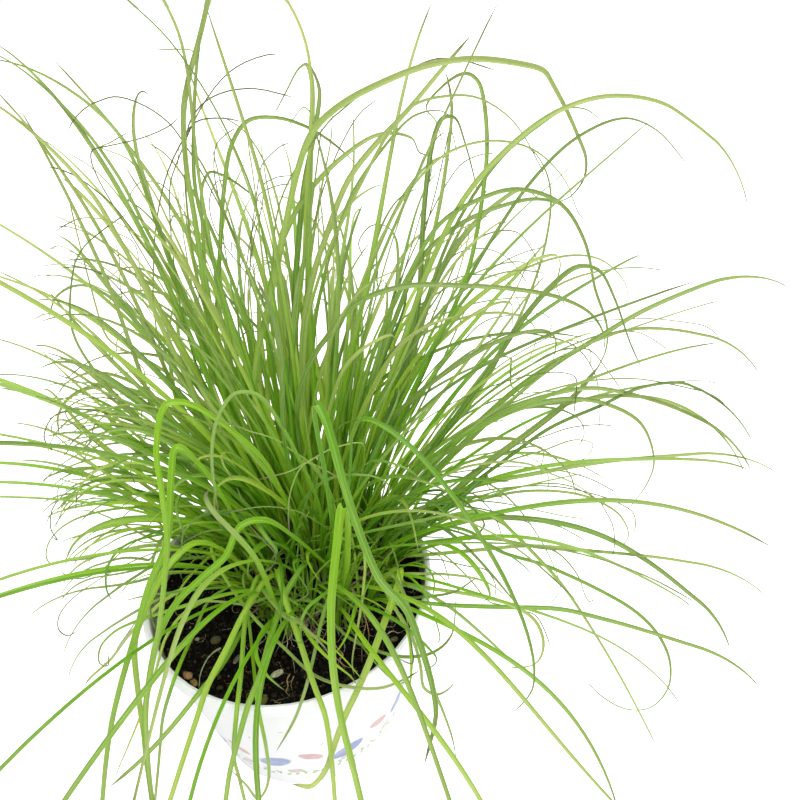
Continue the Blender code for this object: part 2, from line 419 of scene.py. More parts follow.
# A ball of 20 triangles for the crumbs, and one of 80 for the larger lumps.
golden = (1 + math.sqrt(5)) / 2
BALL = []
for first, second in ((1, golden), (-1, golden), (1, -golden), (-1, -golden)):
    BALL += [(0, first, second), (first, second, 0), (second, 0, first)]
BALL = np.array(BALL) / math.hypot(1, golden)
BALL_FACES = []
for a in range(12):
    for b in range(a + 1, 12):
        for c in range(b + 1, 12):
            corners = BALL[[a, b, c]]
            sides = [np.linalg.norm(corners[i] - corners[i - 1]) for i in range(3)]
            if max(sides) < NEIGHBOURS_WITHIN:
                outward = np.cross(corners[1] - corners[0], corners[2] - corners[0]) @ corners[0] > 0
                BALL_FACES.append((a, b, c) if outward else (a, c, b))
BALL_FACES = np.array(BALL_FACES)
edge_middle = {}
points = list(BALL)
divided = []
for a, b, c in BALL_FACES:
    middles = []
    for pair in ((a, b), (b, c), (c, a)):
        key = tuple(sorted(pair))
        if key not in edge_middle:
            edge_middle[key] = len(points)
            points.append(unit(BALL[key[0]] + BALL[key[1]]))
        middles.append(edge_middle[key])
    ab, bc, ca = middles
    divided += [(a, ab, ca), (b, bc, ab), (c, ca, bc), (ab, bc, ca)]
FINE_BALL = np.array(points)
FINE_BALL_FACES = np.array(divided)


def lump(at, size, flat, long, turn, shade, fine=False, sunk=0.35, angular=0.3):
    """One irregular lump of this size lying on the soil: its points, its faces and its shade."""
    ball, ball_faces = (FINE_BALL, FINE_BALL_FACES) if fine else (BALL, BALL_FACES)
    rough = np.array([1 + angular * chance.uniform(-1, 1) for _ in ball])[:, None]
    shape = ball * rough * (size * long / 2, size / 2, size * flat / 2)
    lean = chance.uniform(-0.35, 0.35)
    tilt = np.array(Matrix.Rotation(turn, 3, "Z") @ Matrix.Rotation(lean, 3, "Y"))
    base = np.array((at[0], at[1], soil_top(at[0], at[1]) + size * flat * (0.5 - sunk)))
    return shape @ tilt.T + base, ball_faces, shade


def shade_points(piece, layer_name, shades):
    """Gives each point of the piece four values, which its material reads by the layer's name."""
    layer = piece.data.attributes.new(layer_name, "FLOAT_COLOR", "POINT")
    layer.data.foreach_set("color", np.array(shades, dtype=np.float32).ravel())


def lumps_piece(name, lumps, finish):
    vertices, faces, shades = [], [], []
    for shape, ball_faces, shade in lumps:
        faces += (ball_faces + len(vertices)).tolist()
        vertices += shape.tolist()
        shades += [shade] * len(shape)
    shade_points(new_piece(name, vertices, faces, finish), "lump_shade", shades)


def lump_material(name, speck_scale, roughness):
    made, write = new_material(name)
    place = write.place()
    own = write.add("ShaderNodeAttribute", attribute_name="lump_shade")
    colour = write.mix(patches(write, place, speck_scale, 0.35, 0.7, 0.55, 0.0, 4.0, 0.6), own, LUMP_DIRT)
    bumps = write.noise(place, speck_scale, 4.0, 0.6)
    write.show(write.coated(colour, roughness, 0.12, (0.6, 0.0004, bumps)))
    return made


def anywhere_on_soil(reach):
    radius = (soil_radius - EDGE_MARGIN) * math.sqrt(chance.random()) * reach
    turn = chance.uniform(0, math.tau)
    return radius * math.cos(turn), radius * math.sin(turn)


lumps = []
for _ in range(CRUMBS):
    size = min(LARGEST_CRUMB, CRUMB_SIZE * math.exp(chance.gauss(0.1, 0.5)))
    shade = rgb(*chance.choice(PEAT_SHADES))
    flat, long, turn = chance.uniform(0.5, 0.9), chance.uniform(1, 1.7), chance.uniform(0, math.pi)
    lumps.append(lump(anywhere_on_soil(1), size, flat, long, turn, shade, angular=0.4))
lumps_piece("peat_crumbs", lumps, lump_material("peat_crumb", 1400.0, 0.6))

lumps = []
for _ in range(GRIT):
    size = chance.uniform(*GRIT_SIZES)
    shade = rgb(*chance.choice(GRIT_SHADES))
    at = anywhere_on_soil(1)
    lumps.append(lump(at, size, 0.5, chance.uniform(1, 2.2), chance.uniform(0, math.pi), shade, fine=True))
WHITE_PEBBLE = (277, 674)
OLIVE_CHIP = (216, 641)
TAN_CHIP = (188, 676)
BROWN_CHIP = (194, 683)
UPPER_STONE = (186, 620)
SMALL_STONE = (197, 638)
GREEN_BIT = (263, 700)
FRONT_STONE = (312, 632)
RIGHT_STONE = (392, 620)
RIGHT_CHIP = (394, 638)
GREY_CHIP = (237, 660)
for pixel, size, long, turn, shade in (
    (WHITE_PEBBLE, 0.0030, 1.9, 0.35, (196, 196, 160)),
    (OLIVE_CHIP, 0.0042, 1.1, 0.8, (88, 84, 52)),
    (TAN_CHIP, 0.0030, 1.7, -0.6, (176, 136, 92)),
    (BROWN_CHIP, 0.0026, 1.8, -0.9, (150, 124, 70)),
    (UPPER_STONE, 0.0027, 1.3, 0.5, (122, 104, 80)),
    (SMALL_STONE, 0.0018, 1.2, 0.0, (150, 142, 124)),
    (GREEN_BIT, 0.0030, 1.6, 1.2, (96, 98, 44)),
    (FRONT_STONE, 0.0026, 1.2, 0.3, (134, 104, 82)),
    (RIGHT_STONE, 0.0024, 1.2, 0.9, (120, 116, 108)),
    (RIGHT_CHIP, 0.0024, 1.5, 0.4, (112, 108, 72)),
    (GREY_CHIP, 0.0020, 2.2, 1.3, (128, 122, 112)),
):
    at = seen_on(*pixel, STONE_LEVEL)
    lumps.append(lump(at, size, 0.55, long, turn, rgb(*shade), fine=True, sunk=0.2, angular=0.14))
lumps_piece("bark_and_grit", lumps, lump_material("bark_and_grit", 900.0, 0.75))

# The leaves.
# Each shoot of the clump is a tuft of long, soft leaves: a pale sheathed foot, a channelled blade 2 to 3 mm
# wide, and a long taper to a dry, thread-thin, curling tip. A leaf is a ribbon folded along its keel.
BLADE_SEGMENT = 0.0062
BEND_PER_SEGMENT = 0.22
SPAN_POINTS = 8
TOO_CLOSE = 1e-7
ACROSS = (-1.0, -0.5, 0.0, 0.5, 1.0)
FOOT_FOLD = 1.15
BLADE_FOLD = 0.66
FOLD_OPENS_BY = 0.30
THREAD_WIDTH = 0.00085
ROLLED_BELOW = 0.0012
ROLLED_FOLD = 0.98
LIGHT_LET_THROUGH = 0.34
# A leaf's ages: at its foot, at its tip, and the power by which it ages from the one to the other.
NORMAL = (0.0, 1.0, 1.0)
OLDER = (0.0, 1.0, 0.48)
FRESH = (0.0, 0.78, 1.0)
YOUNG = (0.04, 0.42, 1.0)


def between(t, start, end, first, second):
    """The point at t on the way from the first point, at start, to the second one, at end."""
    return (end - t) / (end - start) * first + (t - start) / (end - start) * second


def through(points):
    """A close-set smooth curve through the points: centripetal Catmull-Rom."""
    points = np.asarray(points, float)
    ends = np.vstack((2 * points[0] - points[1], points, 2 * points[-1] - points[-2]))
    curve = []
    for index in range(1, len(ends) - 2):
        four = ends[index - 1 : index + 3]
        gaps = np.maximum(np.linalg.norm(np.diff(four, axis=0), axis=1), TOO_CLOSE)
        knots = np.concatenate(([0.0], np.cumsum(np.sqrt(gaps))))
        t = np.linspace(knots[1], knots[2], SPAN_POINTS + 1)[:-1, None]
        a = [between(t, knots[i], knots[i + 1], four[i], four[i + 1]) for i in range(3)]
        b = [between(t, knots[i], knots[i + 2], a[i], a[i + 1]) for i in range(2)]
        curve.append(between(t, knots[1], knots[2], *b))
    return np.vstack((*curve, points[-1:]))


def paced(curve):
    """The curve at steps that shorten where it bends: its points, their shares of its length, and ways on."""
    steps = np.linalg.norm(np.diff(curve, axis=0), axis=1)
    curve = curve[np.concatenate(([True], steps > TOO_CLOSE))]
    steps = steps[steps > TOO_CLOSE]
    ways = np.diff(curve, axis=0) / steps[:, None]
    bends = np.concatenate((np.arccos(np.clip((ways[1:] * ways[:-1]).sum(axis=1), -1, 1)), [0]))
    effort = steps / BLADE_SEGMENT + bends / BEND_PER_SEGMENT
    total = np.concatenate(([0], np.cumsum(effort)))
    wanted = np.linspace(0, total[-1], max(8, int(total[-1]) + 2))
    length = np.concatenate(([0], np.cumsum(steps)))
    at = np.interp(wanted, total, length)
    spine = np.stack([np.interp(at, length, curve[:, axis]) for axis in range(3)], axis=1)
    ways = np.gradient(spine, axis=0)
    return spine, at / length[-1], ways / np.linalg.norm(ways, axis=1)[:, None]


def carried(side, ways):
    """The side direction, carried along a path's ways and kept square to them."""
    sides = []
    for way in ways:
        side = unit(side - way * (side @ way))
        sides.append(side)
    return np.array(sides)


def faced(spine, share, ways, tone, twist, flat_to_eye):
    """The leaf's side and upper directions along its spine, turned to the eye and twisted this much."""
    level = np.cross(unit(spine[len(spine) // 2] - spine[0]), (0, 0, 1))
    sides = carried(level + np.array((math.sin(tone * 50), math.cos(tone * 50), 0)) * 0.05, ways)
    normals = np.cross(sides, ways)
    middle = len(spine) * 6 // 10
    sight = EYE - spine[middle]
    turn = math.atan2(-(sight @ sides[middle]), sight @ normals[middle])
    turn -= math.copysign(math.pi, turn) if abs(turn) > math.pi / 2 else 0
    angle = (turn * flat_to_eye * np.clip(share * 3, 0, 1) + twist * share**1.2)[:, None]
    return sides * np.cos(angle) + normals * np.sin(angle), normals * np.cos(angle) - sides * np.sin(angle)


def section(share, widths):
    """The leaf's half width and the angle of its fold along its length. A narrow leaf is rolled."""
    places, sizes = zip(*widths)
    wide = np.maximum(np.interp(share, places, sizes), THREAD_WIDTH) / 2
    wide[-1] = THREAD_WIDTH / 5
    fold = FOOT_FOLD + (BLADE_FOLD - FOOT_FOLD) * np.clip(share / FOLD_OPENS_BY, 0, 1)
    rolled = np.clip((ROLLED_BELOW - 2 * wide) / (ROLLED_BELOW - THREAD_WIDTH), 0, 1)
    return wide, fold + (ROLLED_FOLD - fold) * rolled


def add_leaf(tuft, path, widths, tone, twist, dry_from=0.93, ages=NORMAL, flat_to_eye=0.0):
    """Adds a leaf to a tuft. Its path runs from soil to tip, and its widths are (share of length, width)."""
    spine, share, ways = paced(through(path))
    sides, normals = faced(spine, share, ways, tone, twist, flat_to_eye)
    wide, fold = (values[:, None, None] for values in section(share, widths))
    lateral = np.array(ACROSS)[None, :, None]
    out = sides[:, None] * lateral * np.cos(fold) + normals[:, None] * np.abs(lateral) ** 1.3 * np.sin(fold)
    start, count = len(tuft["vertices"]), len(ACROSS)
    tuft["vertices"] += (spine[:, None] + out * wide).reshape(-1, 3).tolist()
    for row in range(len(spine) - 1):
        for column in range(count - 1):
            corner = start + row * count + column
            tuft["faces"].append((corner, corner + 1, corner + 1 + count, corner + count))
    dry = np.clip(1.5 * (share - dry_from) / (1.001 - dry_from), 0, 1)
    youngest, oldest, ageing = ages
    age = youngest + (oldest - youngest) * share**ageing
    for row_share, row_age, row_dry in zip(share, age, dry):
        for across in ACROSS:
            tuft["shades"].append((row_age, row_dry, tone, across / 2 + 0.5))
            tuft["map"].append((tuft["leaves"] + across * 0.42 + 0.5, row_share))
    tuft["leaves"] += 1


def grown_widths(width, taper_from=0.62):
    """How a whole leaf's width runs: a narrower foot, an even blade, and a taper to a thread."""
    return (0, width * 0.8), (0.2, width), (taper_from, width * 0.95), (0.92, width * 0.50), (1, THREAD_WIDTH)


def new_tuft():
    return {"vertices": [], "faces": [], "shades": [], "map": [], "leaves": 0}


def tuft_piece(name, tuft, finish, replaced=()):
    """The tuft's leaves as one piece, each leaf a strip of its own in the texture map."""
    piece = new_piece(name, tuft["vertices"], tuft["faces"], finish, replaced)
    shade_points(piece, "leaf_shade", tuft["shades"])
    places = np.array(tuft["map"])
    places[:, 0] /= tuft["leaves"]
    corners = np.empty(len(piece.data.loops), dtype=np.int32)
    piece.data.loops.foreach_get("vertex_index", corners)
    strip = piece.data.uv_layers.new(name="OFBake")
    strip.data.foreach_set("uv", places[corners].astype(np.float32).ravel())


LEAF_YELLOW = rgb(164, 200, 48)
LEAF_LIGHT = rgb(134, 186, 30)
LEAF_GREEN = rgb(100, 164, 12)
LEAF_DEEP = rgb(62, 124, 8)
AGED_YELLOW = rgb(188, 195, 124)
AGED_LIGHT = rgb(168, 179, 118)
AGED_GREEN = rgb(139, 156, 93)
AGED_DEEP = rgb(102, 125, 70)
SHEATH_PALE = rgb(196, 204, 146)
MOTTLE_PALE = rgb(190, 204, 126)
KEEL_PALE = rgb(186, 210, 110)
EDGE_PALE = rgb(182, 202, 112)
TIP_DRY = rgb(124, 126, 90)
LIGHT_THROUGH = rgb(150, 192, 14)

leaf_finish, write = new_material("soft_grass_leaf")
own, across = write.add("ShaderNodeAttribute", out=("Color", "Alpha"), attribute_name="leaf_shade")
along, dryness, tone = write.add("ShaderNodeSeparateColor", {0: own}, out=(0, 1, 2))
young = write.ramp(tone, [(0.0, LEAF_DEEP), (0.35, LEAF_GREEN), (0.72, LEAF_LIGHT), (1.0, LEAF_YELLOW)])
aged = write.ramp(tone, [(0.0, AGED_DEEP), (0.35, AGED_GREEN), (0.72, AGED_LIGHT), (1.0, AGED_YELLOW)])
body = write.mix(write.spread(along, 0.38, 0.82, 0.0, 0.9), young, aged)
body = write.mix(write.spread(along, 0.10, 0.0, 0.0, 0.9), body, SHEATH_PALE)
stretched = (write.times(across, 3.0), write.times(along, 11.0), write.times(tone, 90.0))
streaks = write.noise(write.add("ShaderNodeCombineXYZ", dict(enumerate(stretched))), 1.6, 4.0, 0.6)
mottle = write.mix(write.spread(along, 0.1, 0.6), LEAF_YELLOW, MOTTLE_PALE)
body = write.mix(write.spread(streaks, 0.54, 0.74, 0.0, 0.55), body, mottle)
body = write.mix(write.spread(streaks, 0.46, 0.28, 0.0, 0.32), body, LEAF_DEEP)
vein = write.math("SINE", write.times(across, 44.0))
body = write.mix(write.spread(vein, -0.2, 1.0, 0.0, 0.18), body, LEAF_DEEP)
keel = write.math("ABSOLUTE", write.minus(across, 0.5))
body = write.mix(write.spread(keel, 0.09, 0.0, 0.0, 0.45), body, KEEL_PALE)
body = write.mix(write.spread(keel, 0.43, 0.5, 0.0, 0.40), body, EDGE_PALE)
body = write.mix(dryness, body, TIP_DRY)
blade = write.coated(body, write.spread(dryness, 0.0, 1.0, 0.36, 0.8), 0.55, (0.4, 0.0001, vein))
shining = write.mix(write.spread(along, 0.2, 0.6, 0.5, 0.2), body, LIGHT_THROUGH)
glow = write.add("ShaderNodeBsdfTranslucent", {"Color": shining})
write.show(write.add("ShaderNodeMixShader", {0: LIGHT_LET_THROUGH, 1: blade, 2: glow}))

# The main leaf of each shoot.
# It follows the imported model, which gives the shoot's root and the middle line of its longest leaf.
SHOOTS = 54
SWAY = 0.008
RIPPLE = 0.4 * SWAY
CROWN_MIDDLE = np.array((0.010, 0.010))
CROWN_RADIUS = 0.036
CROWN_MARGIN = 0.004
ROOT_LAYER = 0.0008
FOOT_DEPTH = 0.0015
FOOT_SPREAD = 0.0016
MAIN_WIDTH = 0.0027
FRONT_MAIN_WIDTH = 0.0021
FRONT_REACH = -0.06
chance = random.Random(21)
tufts = [new_tuft() for _ in range(SHOOTS)]
shoot_lines = []
for number in range(1, SHOOTS + 1):
    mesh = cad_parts[f"shoot_{number:02d}"].data
    corners = np.array([vertex.co for vertex in mesh.vertices])
    corners = np.unique(np.round(corners, 5), axis=0)
    from_middle = np.linalg.norm(corners[:, :2] - CROWN_MIDDLE, axis=1)
    in_crown = corners[from_middle < CROWN_RADIUS + CROWN_MARGIN]
    lowest = in_crown[in_crown[:, 2] < in_crown[:, 2].min() + ROOT_LAYER].mean(axis=0)
    corners = corners[np.argsort(np.linalg.norm(corners - lowest, axis=1))]
    shoot_lines.append(np.array([corners[i : i + 3].mean(axis=0) for i in range(0, len(corners) - 2, 3)]))
roots = np.array([line[0] for line in shoot_lines])


def near_root(number, spread=FOOT_SPREAD):
    """A place for a leaf's foot in the soil, this close to the shoot's root."""
    turn = chance.uniform(0, math.tau)
    reach = spread * math.sqrt(chance.random())
    x, y = roots[number][0] + reach * math.cos(turn), roots[number][1] + reach * math.sin(turn)
    return np.array((x, y, soil_level(x, y) - FOOT_DEPTH))


for number, line in enumerate(shoot_lines):
    share = np.linspace(0, 1, len(line))[:, None]
    away = line[-1] - line[0]
    sideways = np.array((-away[1], away[0], 0)) / max(0.01, math.hypot(away[0], away[1]))
    wave = SWAY * chance.uniform(-1, 1) * np.sin(math.pi * share**0.9) * share
    ripple = RIPPLE * np.sin(math.tau * (share * 1.3 + chance.random())) * share
    path = line + sideways * (wave + ripple) + np.array((0, 0, 1)) * ripple * 0.5
    path[0] = line[0] - (0, 0, FOOT_DEPTH)
    widths = grown_widths(FRONT_MAIN_WIDTH if away[1] < FRONT_REACH else MAIN_WIDTH)
    add_leaf(tufts[number], path, widths, chance.uniform(0.2, 0.9), chance.uniform(-1.2, 1.2))

# Leaves that the photograph shows one by one.
# Each is given by its width in pixels, how far back its tip lies, how it looks, and its places in the picture
# from its foot to its tip, across and down in turn. It is led down to the shoot that leans the same way.
TALL_LEFT = 0.05
TALL_MIDDLE = 0.09
TALL_RIGHT = 0.10
LOW_RIGHT = 0.02
LOW_LEFT = 0.03
FRONT = -0.085
WIDEST = 0.0038
WIDER_THAN_SEEN = 1.22
ROOM_SHARE = 0.03
ROOM_MORE = 0.010
ROOM_KEPT = 0.002
ABOVE_TABLE = 0.003
RIM_CLEARANCE = 0.005
ABOVE_RIM = 0.002
ABOVE_SOIL = 0.003
OVER_SOIL = RIM_RADIUS - 0.004
NEAR_RIM = RIM_RADIUS - 0.006
LIFT_STEP = 0.002
LIFTS = 12
CLEAR_STEP = 0.0012
CLEAR_STEPS = 80
CLEAR_SPREAD = 4.0
LEFT_EDGE, TOP_EDGE, RIGHT_EDGE, BOTTOM_EDGE = 101, 1, 699, 799
RUN_ON_FAR = 0.042
RUN_ON_THREAD = 0.015
RUN_ON_STEPS = 4
SINKING = 0.16
CROWDING = 0.0014
THREAD_PIXELS = 2
THREAD_FOOT = 0.0012
BLADE_FOOT = 0.0021
SEEN_ROLLED = 0.00047
SEEN_SHARE = 0.70
# Leaves at the right are painted darker and those at the left lighter: painted shade and light across the
# clump.
RIGHT_FROM = 450
RIGHT_PAINTED_SHADE = 0.12
LEFT_TO = 300
LEFT_PAINTED_LIGHT = 0.10
PALEST_NEAR = 0.76
SIDE_BACKS = (-0.04, 0.04)
low_corner, high_corner = (np.array(corner) for corner in cad_box)
room = (high_corner - low_corner) * ROOM_SHARE + ROOM_MORE
low_corner, high_corner = low_corner - room + ROOM_KEPT, high_corner + room - ROOM_KEPT
low_corner[2] = ABOVE_TABLE
SEEN_LEAVES = (
    # A near leaf is close to the eye and fresh green. A pale one stands out lighter than its neighbours.
    # A dark one is painted darker than its neighbours as painted shade, where it lies in shade.
    (7, TALL_LEFT, "", (212, 345, 203, 280, 195, 222, 186, 168, 183, 110, 187, 83, 199, 38, 209, -5)),
    (5, TALL_LEFT, "dark", (243, 355, 221, 288, 206, 234, 195, 185, 194, 120, 198, 55, 207, 3)),
    (5.5, TALL_LEFT, "", (283, 285, 270, 215, 257, 163, 241, 112, 222, 54, 206, 5)),
    (3, TALL_LEFT, "", (268, 300, 260, 235, 254, 180, 247, 135)),
    (2, TALL_LEFT, "", (268, 262, 254, 197, 232, 142, 210, 99, 186, 62, 163, 33, 128, 0)),
    (4.5, TALL_LEFT, "", (215, 270, 199, 180, 192, 120, 187, 72, 178, 33, 163, 0, 153, -18)),
    (3, TALL_LEFT, "", (186, 200, 185, 115, 192, 70, 195, 57, 191, 51, 180, 50, 165, 50, 148, 49)),
    (1.5, TALL_LEFT, "", (190, 152, 170, 124, 143, 105, 115, 97, 93, 104)),
    (5.5, TALL_LEFT, "", (205, 340, 176, 275, 158, 225, 146, 185, 136, 150,
        133, 118, 138, 94, 143, 91, 148, 94)),
    (5, TALL_LEFT, "", (195, 330, 165, 250, 148, 200, 134, 162, 118, 134, 98, 113, 84, 101)),
    (7, TALL_LEFT, "dark", (196, 352, 169, 290, 141, 232, 115, 185, 93, 150, 78, 128)),
    (5, TALL_LEFT, "", (205, 350, 176, 285, 147, 232, 121, 182, 96, 145, 80, 125)),
    (1.2, TALL_LEFT, "", (140, 250, 92, 165, 92, 150, 105, 146, 140, 138, 168, 126, 180, 116)),
    (1.5, TALL_LEFT, "", (176, 285, 170, 225, 170, 183, 179, 156, 198, 112,
        222, 78, 242, 63, 268, 54, 277, 54)),
    (1.5, TALL_LEFT, "", (185, 180, 189, 125, 205, 102, 229, 91, 256, 89, 284, 95, 295, 98)),
    (1.5, TALL_LEFT, "", (153, 300, 155, 235, 165, 180, 180, 145, 196, 122, 222, 118, 243, 122)),
    (1, TALL_MIDDLE, "", (225, 250, 219, 200, 214, 170, 217, 144, 231, 131, 237, 128)),
    (5, TALL_MIDDLE, "", (216, 330, 220, 250, 224, 190, 232, 144, 248, 121,
        276, 118, 306, 127, 332, 143, 355, 163)),
    (4, TALL_MIDDLE, "", (205, 270, 201, 195, 204, 180, 210, 172, 228, 178, 252, 195, 262, 204)),
    (4, TALL_LEFT, "", (262, 300, 240, 252, 219, 200, 205, 170, 186, 138)),
    (6, LOW_LEFT, "", (185, 375, 158, 320, 137, 272, 117, 236, 96, 200, 80, 180)),
    (5, LOW_LEFT, "pale", (172, 385, 146, 325, 122, 274, 99, 230, 86, 208)),
    (5, LOW_LEFT, "pale", (150, 400, 127, 335, 108, 283, 88, 238)),
    (1.2, LOW_LEFT, "", (165, 275, 138, 238, 114, 206, 88, 184)),
    (1.2, TALL_LEFT, "", (198, 292, 183, 259, 165, 231, 158, 222)),
    (1.2, LOW_LEFT, "", (152, 332, 128, 299, 107, 277, 97, 272)),
    (2, LOW_LEFT, "", (160, 318, 133, 274, 108, 247, 95, 238)),
    (3, LOW_LEFT, "", (165, 372, 137, 357, 110, 341, 102, 328, 98, 315)),
    (4, TALL_MIDDLE, "", (296, 330, 303, 270, 306, 200, 311, 125, 311, 75, 304, 38, 291, 8, 272, -18)),
    (7, TALL_MIDDLE, "pale", (258, 350, 274, 280, 286, 222, 297, 172, 312, 132, 340, 105,
        385, 81, 425, 66, 470, 59, 520, 64, 543, 71, 552, 85,
        566, 111, 577, 136, 585, 158, 583, 178, 570, 196, 553, 203)),
    (7, TALL_MIDDLE, "", (296, 270, 304, 185, 315, 128, 319, 90, 310, 64)),
    (1.5, TALL_MIDDLE, "", (330, 120, 372, 86, 405, 71, 435, 59, 460, 60, 497, 71)),
    (7, TALL_MIDDLE, "", (310, 150, 311, 80, 306, 66, 299, 70, 288, 90, 277, 110, 273, 116)),
    (3, TALL_MIDDLE, "", (310, 180, 311, 115, 304, 108, 296, 116, 286, 131)),
    (6.5, TALL_MIDDLE, "", (317, 262, 347, 182, 372, 148, 405, 113, 441, 70, 471, 35)),
    (4, TALL_MIDDLE, "", (330, 255, 352, 195, 383, 149, 413, 117, 438, 111, 449, 115)),
    (6, TALL_MIDDLE, "", (283, 240, 303, 200, 341, 159, 380, 135, 411, 139, 419, 153, 430, 156)),
    (1.5, TALL_MIDDLE, "", (310, 240, 326, 182, 345, 138, 361, 113, 380, 98)),
    (3, TALL_MIDDLE, "", (306, 290, 319, 200, 331, 138, 332, 114)),
    (6, TALL_RIGHT, "dark", (420, 290, 425, 200, 434, 138, 443, 119, 454, 119, 464, 143, 476, 188, 478, 198)),
    (5, TALL_RIGHT, "", (428, 360, 452, 312, 469, 268, 482, 200, 487, 145, 483, 97, 478, 82,
        470, 75, 461, 75, 442, 88, 427, 108, 436, 120, 445, 150)),
    (3.5, TALL_MIDDLE, "", (331, 245, 361, 184, 389, 133, 413, 106, 443, 97,
        476, 98, 511, 120, 537, 161, 546, 180)),
    (3, TALL_MIDDLE, "", (380, 240, 408, 192, 446, 154, 490, 141, 533, 150, 564, 180, 579, 215, 585, 220)),
    (3, TALL_RIGHT, "", (490, 375, 523, 310, 542, 258, 551, 203, 547, 174, 535, 153, 528, 149)),
    (6, TALL_RIGHT, "pale", (405, 335, 428, 270, 463, 200, 503, 153, 553, 114,
        606, 97, 659, 103, 690, 122, 716, 143)),
    (4, TALL_RIGHT, "", (420, 318, 455, 228, 500, 160, 541, 125, 568, 109, 588, 111, 603, 124)),
    (4, TALL_RIGHT, "dark", (425, 370, 455, 305, 494, 236, 533, 180, 577, 138,
        624, 119, 655, 130, 679, 155, 686, 165)),
    (1.2, TALL_RIGHT, "", (430, 215, 446, 185, 463, 163, 486, 154, 497, 155)),
    (5, TALL_RIGHT, "pale", (418, 300, 438, 215, 446, 168, 452, 108, 448, 80, 445, 71)),
    (2, TALL_MIDDLE, "", (375, 300, 394, 235, 412, 185, 424, 155)),
    (3, TALL_MIDDLE, "", (360, 310, 371, 262, 383, 223, 400, 198, 422, 187)),
    (5, TALL_MIDDLE, "", (335, 330, 345, 262, 356, 222, 364, 202)),
    (8, TALL_RIGHT, "", (415, 345, 437, 280, 463, 238, 489, 211, 523, 190, 537, 198)),
    (5.5, TALL_RIGHT, "", (395, 320, 422, 258, 458, 226, 498, 208, 537, 200, 565, 209, 581, 236, 589, 263)),
    (5, TALL_RIGHT, "", (400, 290, 437, 226, 470, 203, 515, 189, 559, 203, 584, 242,
        594, 288, 606, 325, 605, 350, 594, 372, 580, 394)),
    (1.5, TALL_RIGHT, "", (440, 300, 463, 252, 491, 233, 517, 233, 532, 251, 541, 271)),
    (1.2, TALL_RIGHT, "", (425, 300, 455, 255, 484, 249, 508, 259, 530, 288)),
    (2, TALL_RIGHT, "", (425, 315, 452, 281, 482, 275, 507, 282, 518, 302, 520, 315)),
    (3, TALL_RIGHT, "", (425, 360, 463, 312, 514, 274, 568, 256, 600, 260, 622, 279, 627, 292, 623, 314)),
    (1.2, TALL_RIGHT, "", (430, 345, 460, 303, 488, 272, 518, 255, 544, 247)),
    (3, TALL_RIGHT, "", (455, 395, 503, 330, 530, 293, 552, 268)),
    (7, 0.04, "dark", (440, 440, 487, 375, 522, 322, 552, 287, 578, 268,
        598, 272, 613, 298, 630, 345, 642, 370)),
    (3, 0.05, "", (505, 345, 545, 295, 578, 277, 632, 268, 667, 271)),
    (6, 0.05, "dark", (318, 350, 355, 305, 402, 287, 460, 286, 518, 290,
        562, 299, 591, 315, 604, 338, 603, 352)),
    (6, 0.06, "", (470, 430, 525, 383, 590, 343, 640, 313, 700, 287, 718, 281)),
    (4, 0.06, "pale", (470, 440, 515, 397, 555, 365, 600, 338, 635, 329, 675, 330, 712, 337)),
    (1.5, 0.06, "", (470, 352, 508, 334, 543, 336, 575, 347, 593, 371, 599, 397, 599, 428)),
    (2, LOW_LEFT, "", (215, 570, 165, 528, 138, 506, 112, 497, 98, 497)),
    (2.5, LOW_LEFT, "", (190, 556, 147, 537, 112, 519, 100, 514)),
    (2, LOW_LEFT, "", (185, 535, 155, 527, 125, 525, 98, 531)),
    (3, LOW_LEFT, "", (185, 540, 145, 529, 115, 531, 98, 536)),
    (2.5, LOW_LEFT, "", (185, 542, 150, 532, 125, 536, 98, 551)),
    (4, LOW_LEFT, "", (195, 550, 155, 545, 120, 551, 98, 556)),
    (4, LOW_LEFT, "", (175, 520, 145, 498, 115, 478, 98, 468)),
    (4, LOW_LEFT, "", (185, 512, 152, 490, 124, 470, 96, 452)),
    (4, LOW_LEFT, "", (192, 498, 158, 470, 128, 444, 98, 424)),
    (4, LOW_LEFT, "pale", (200, 480, 165, 446, 132, 415, 98, 388)),
    (4, LOW_LEFT, "pale", (205, 460, 172, 418, 140, 380, 96, 336)),
    (5, LOW_LEFT, "pale", (190, 540, 145, 508, 115, 488, 98, 479)),
    (3, LOW_LEFT, "", (165, 452, 137, 443, 112, 444, 98, 447)),
    (1.2, LOW_LEFT, "", (155, 426, 130, 427, 98, 425)),
    (1.2, LOW_LEFT, "", (85, 398, 110, 398, 130, 402, 141, 410, 141, 418)),
    (3, LOW_LEFT, "", (150, 566, 125, 572, 95, 577)),
    (3, LOW_LEFT, "", (150, 560, 125, 558, 95, 566)),
    (3, 0.0, "", (148, 569, 120, 587, 95, 606)),
    (3, 0.0, "", (160, 575, 135, 582, 110, 586, 92, 588)),
    (3, 0.0, "", (165, 596, 135, 612, 112, 626, 92, 640)),
    (4, 0.0, "", (160, 604, 130, 634, 112, 658, 92, 676)),
    (5, LOW_RIGHT, "", (440, 465, 485, 425, 525, 407, 565, 399, 605, 404,
        640, 424, 653, 462, 646, 484, 625, 513)),
    (5, LOW_RIGHT, "", (455, 440, 500, 412, 545, 396, 590, 388, 630, 394, 670, 406, 704, 421)),
    (2.5, LOW_RIGHT, "", (470, 425, 510, 404, 550, 390, 590, 381, 635, 379, 668, 384, 704, 392)),
    (8, LOW_RIGHT, "", (440, 505, 490, 462, 540, 425, 575, 396, 600, 365)),
    (4, LOW_RIGHT, "dark", (455, 497, 505, 460, 550, 428, 600, 406, 640, 388, 680, 383, 702, 391)),
    (1.2, LOW_RIGHT, "", (500, 450, 540, 438, 570, 428, 600, 425, 618, 427)),
    (1.2, LOW_RIGHT, "", (440, 475, 500, 467, 555, 470, 590, 479, 620, 495)),
    (5, LOW_RIGHT, "", (430, 505, 480, 485, 530, 475, 600, 463, 650, 458, 704, 454)),
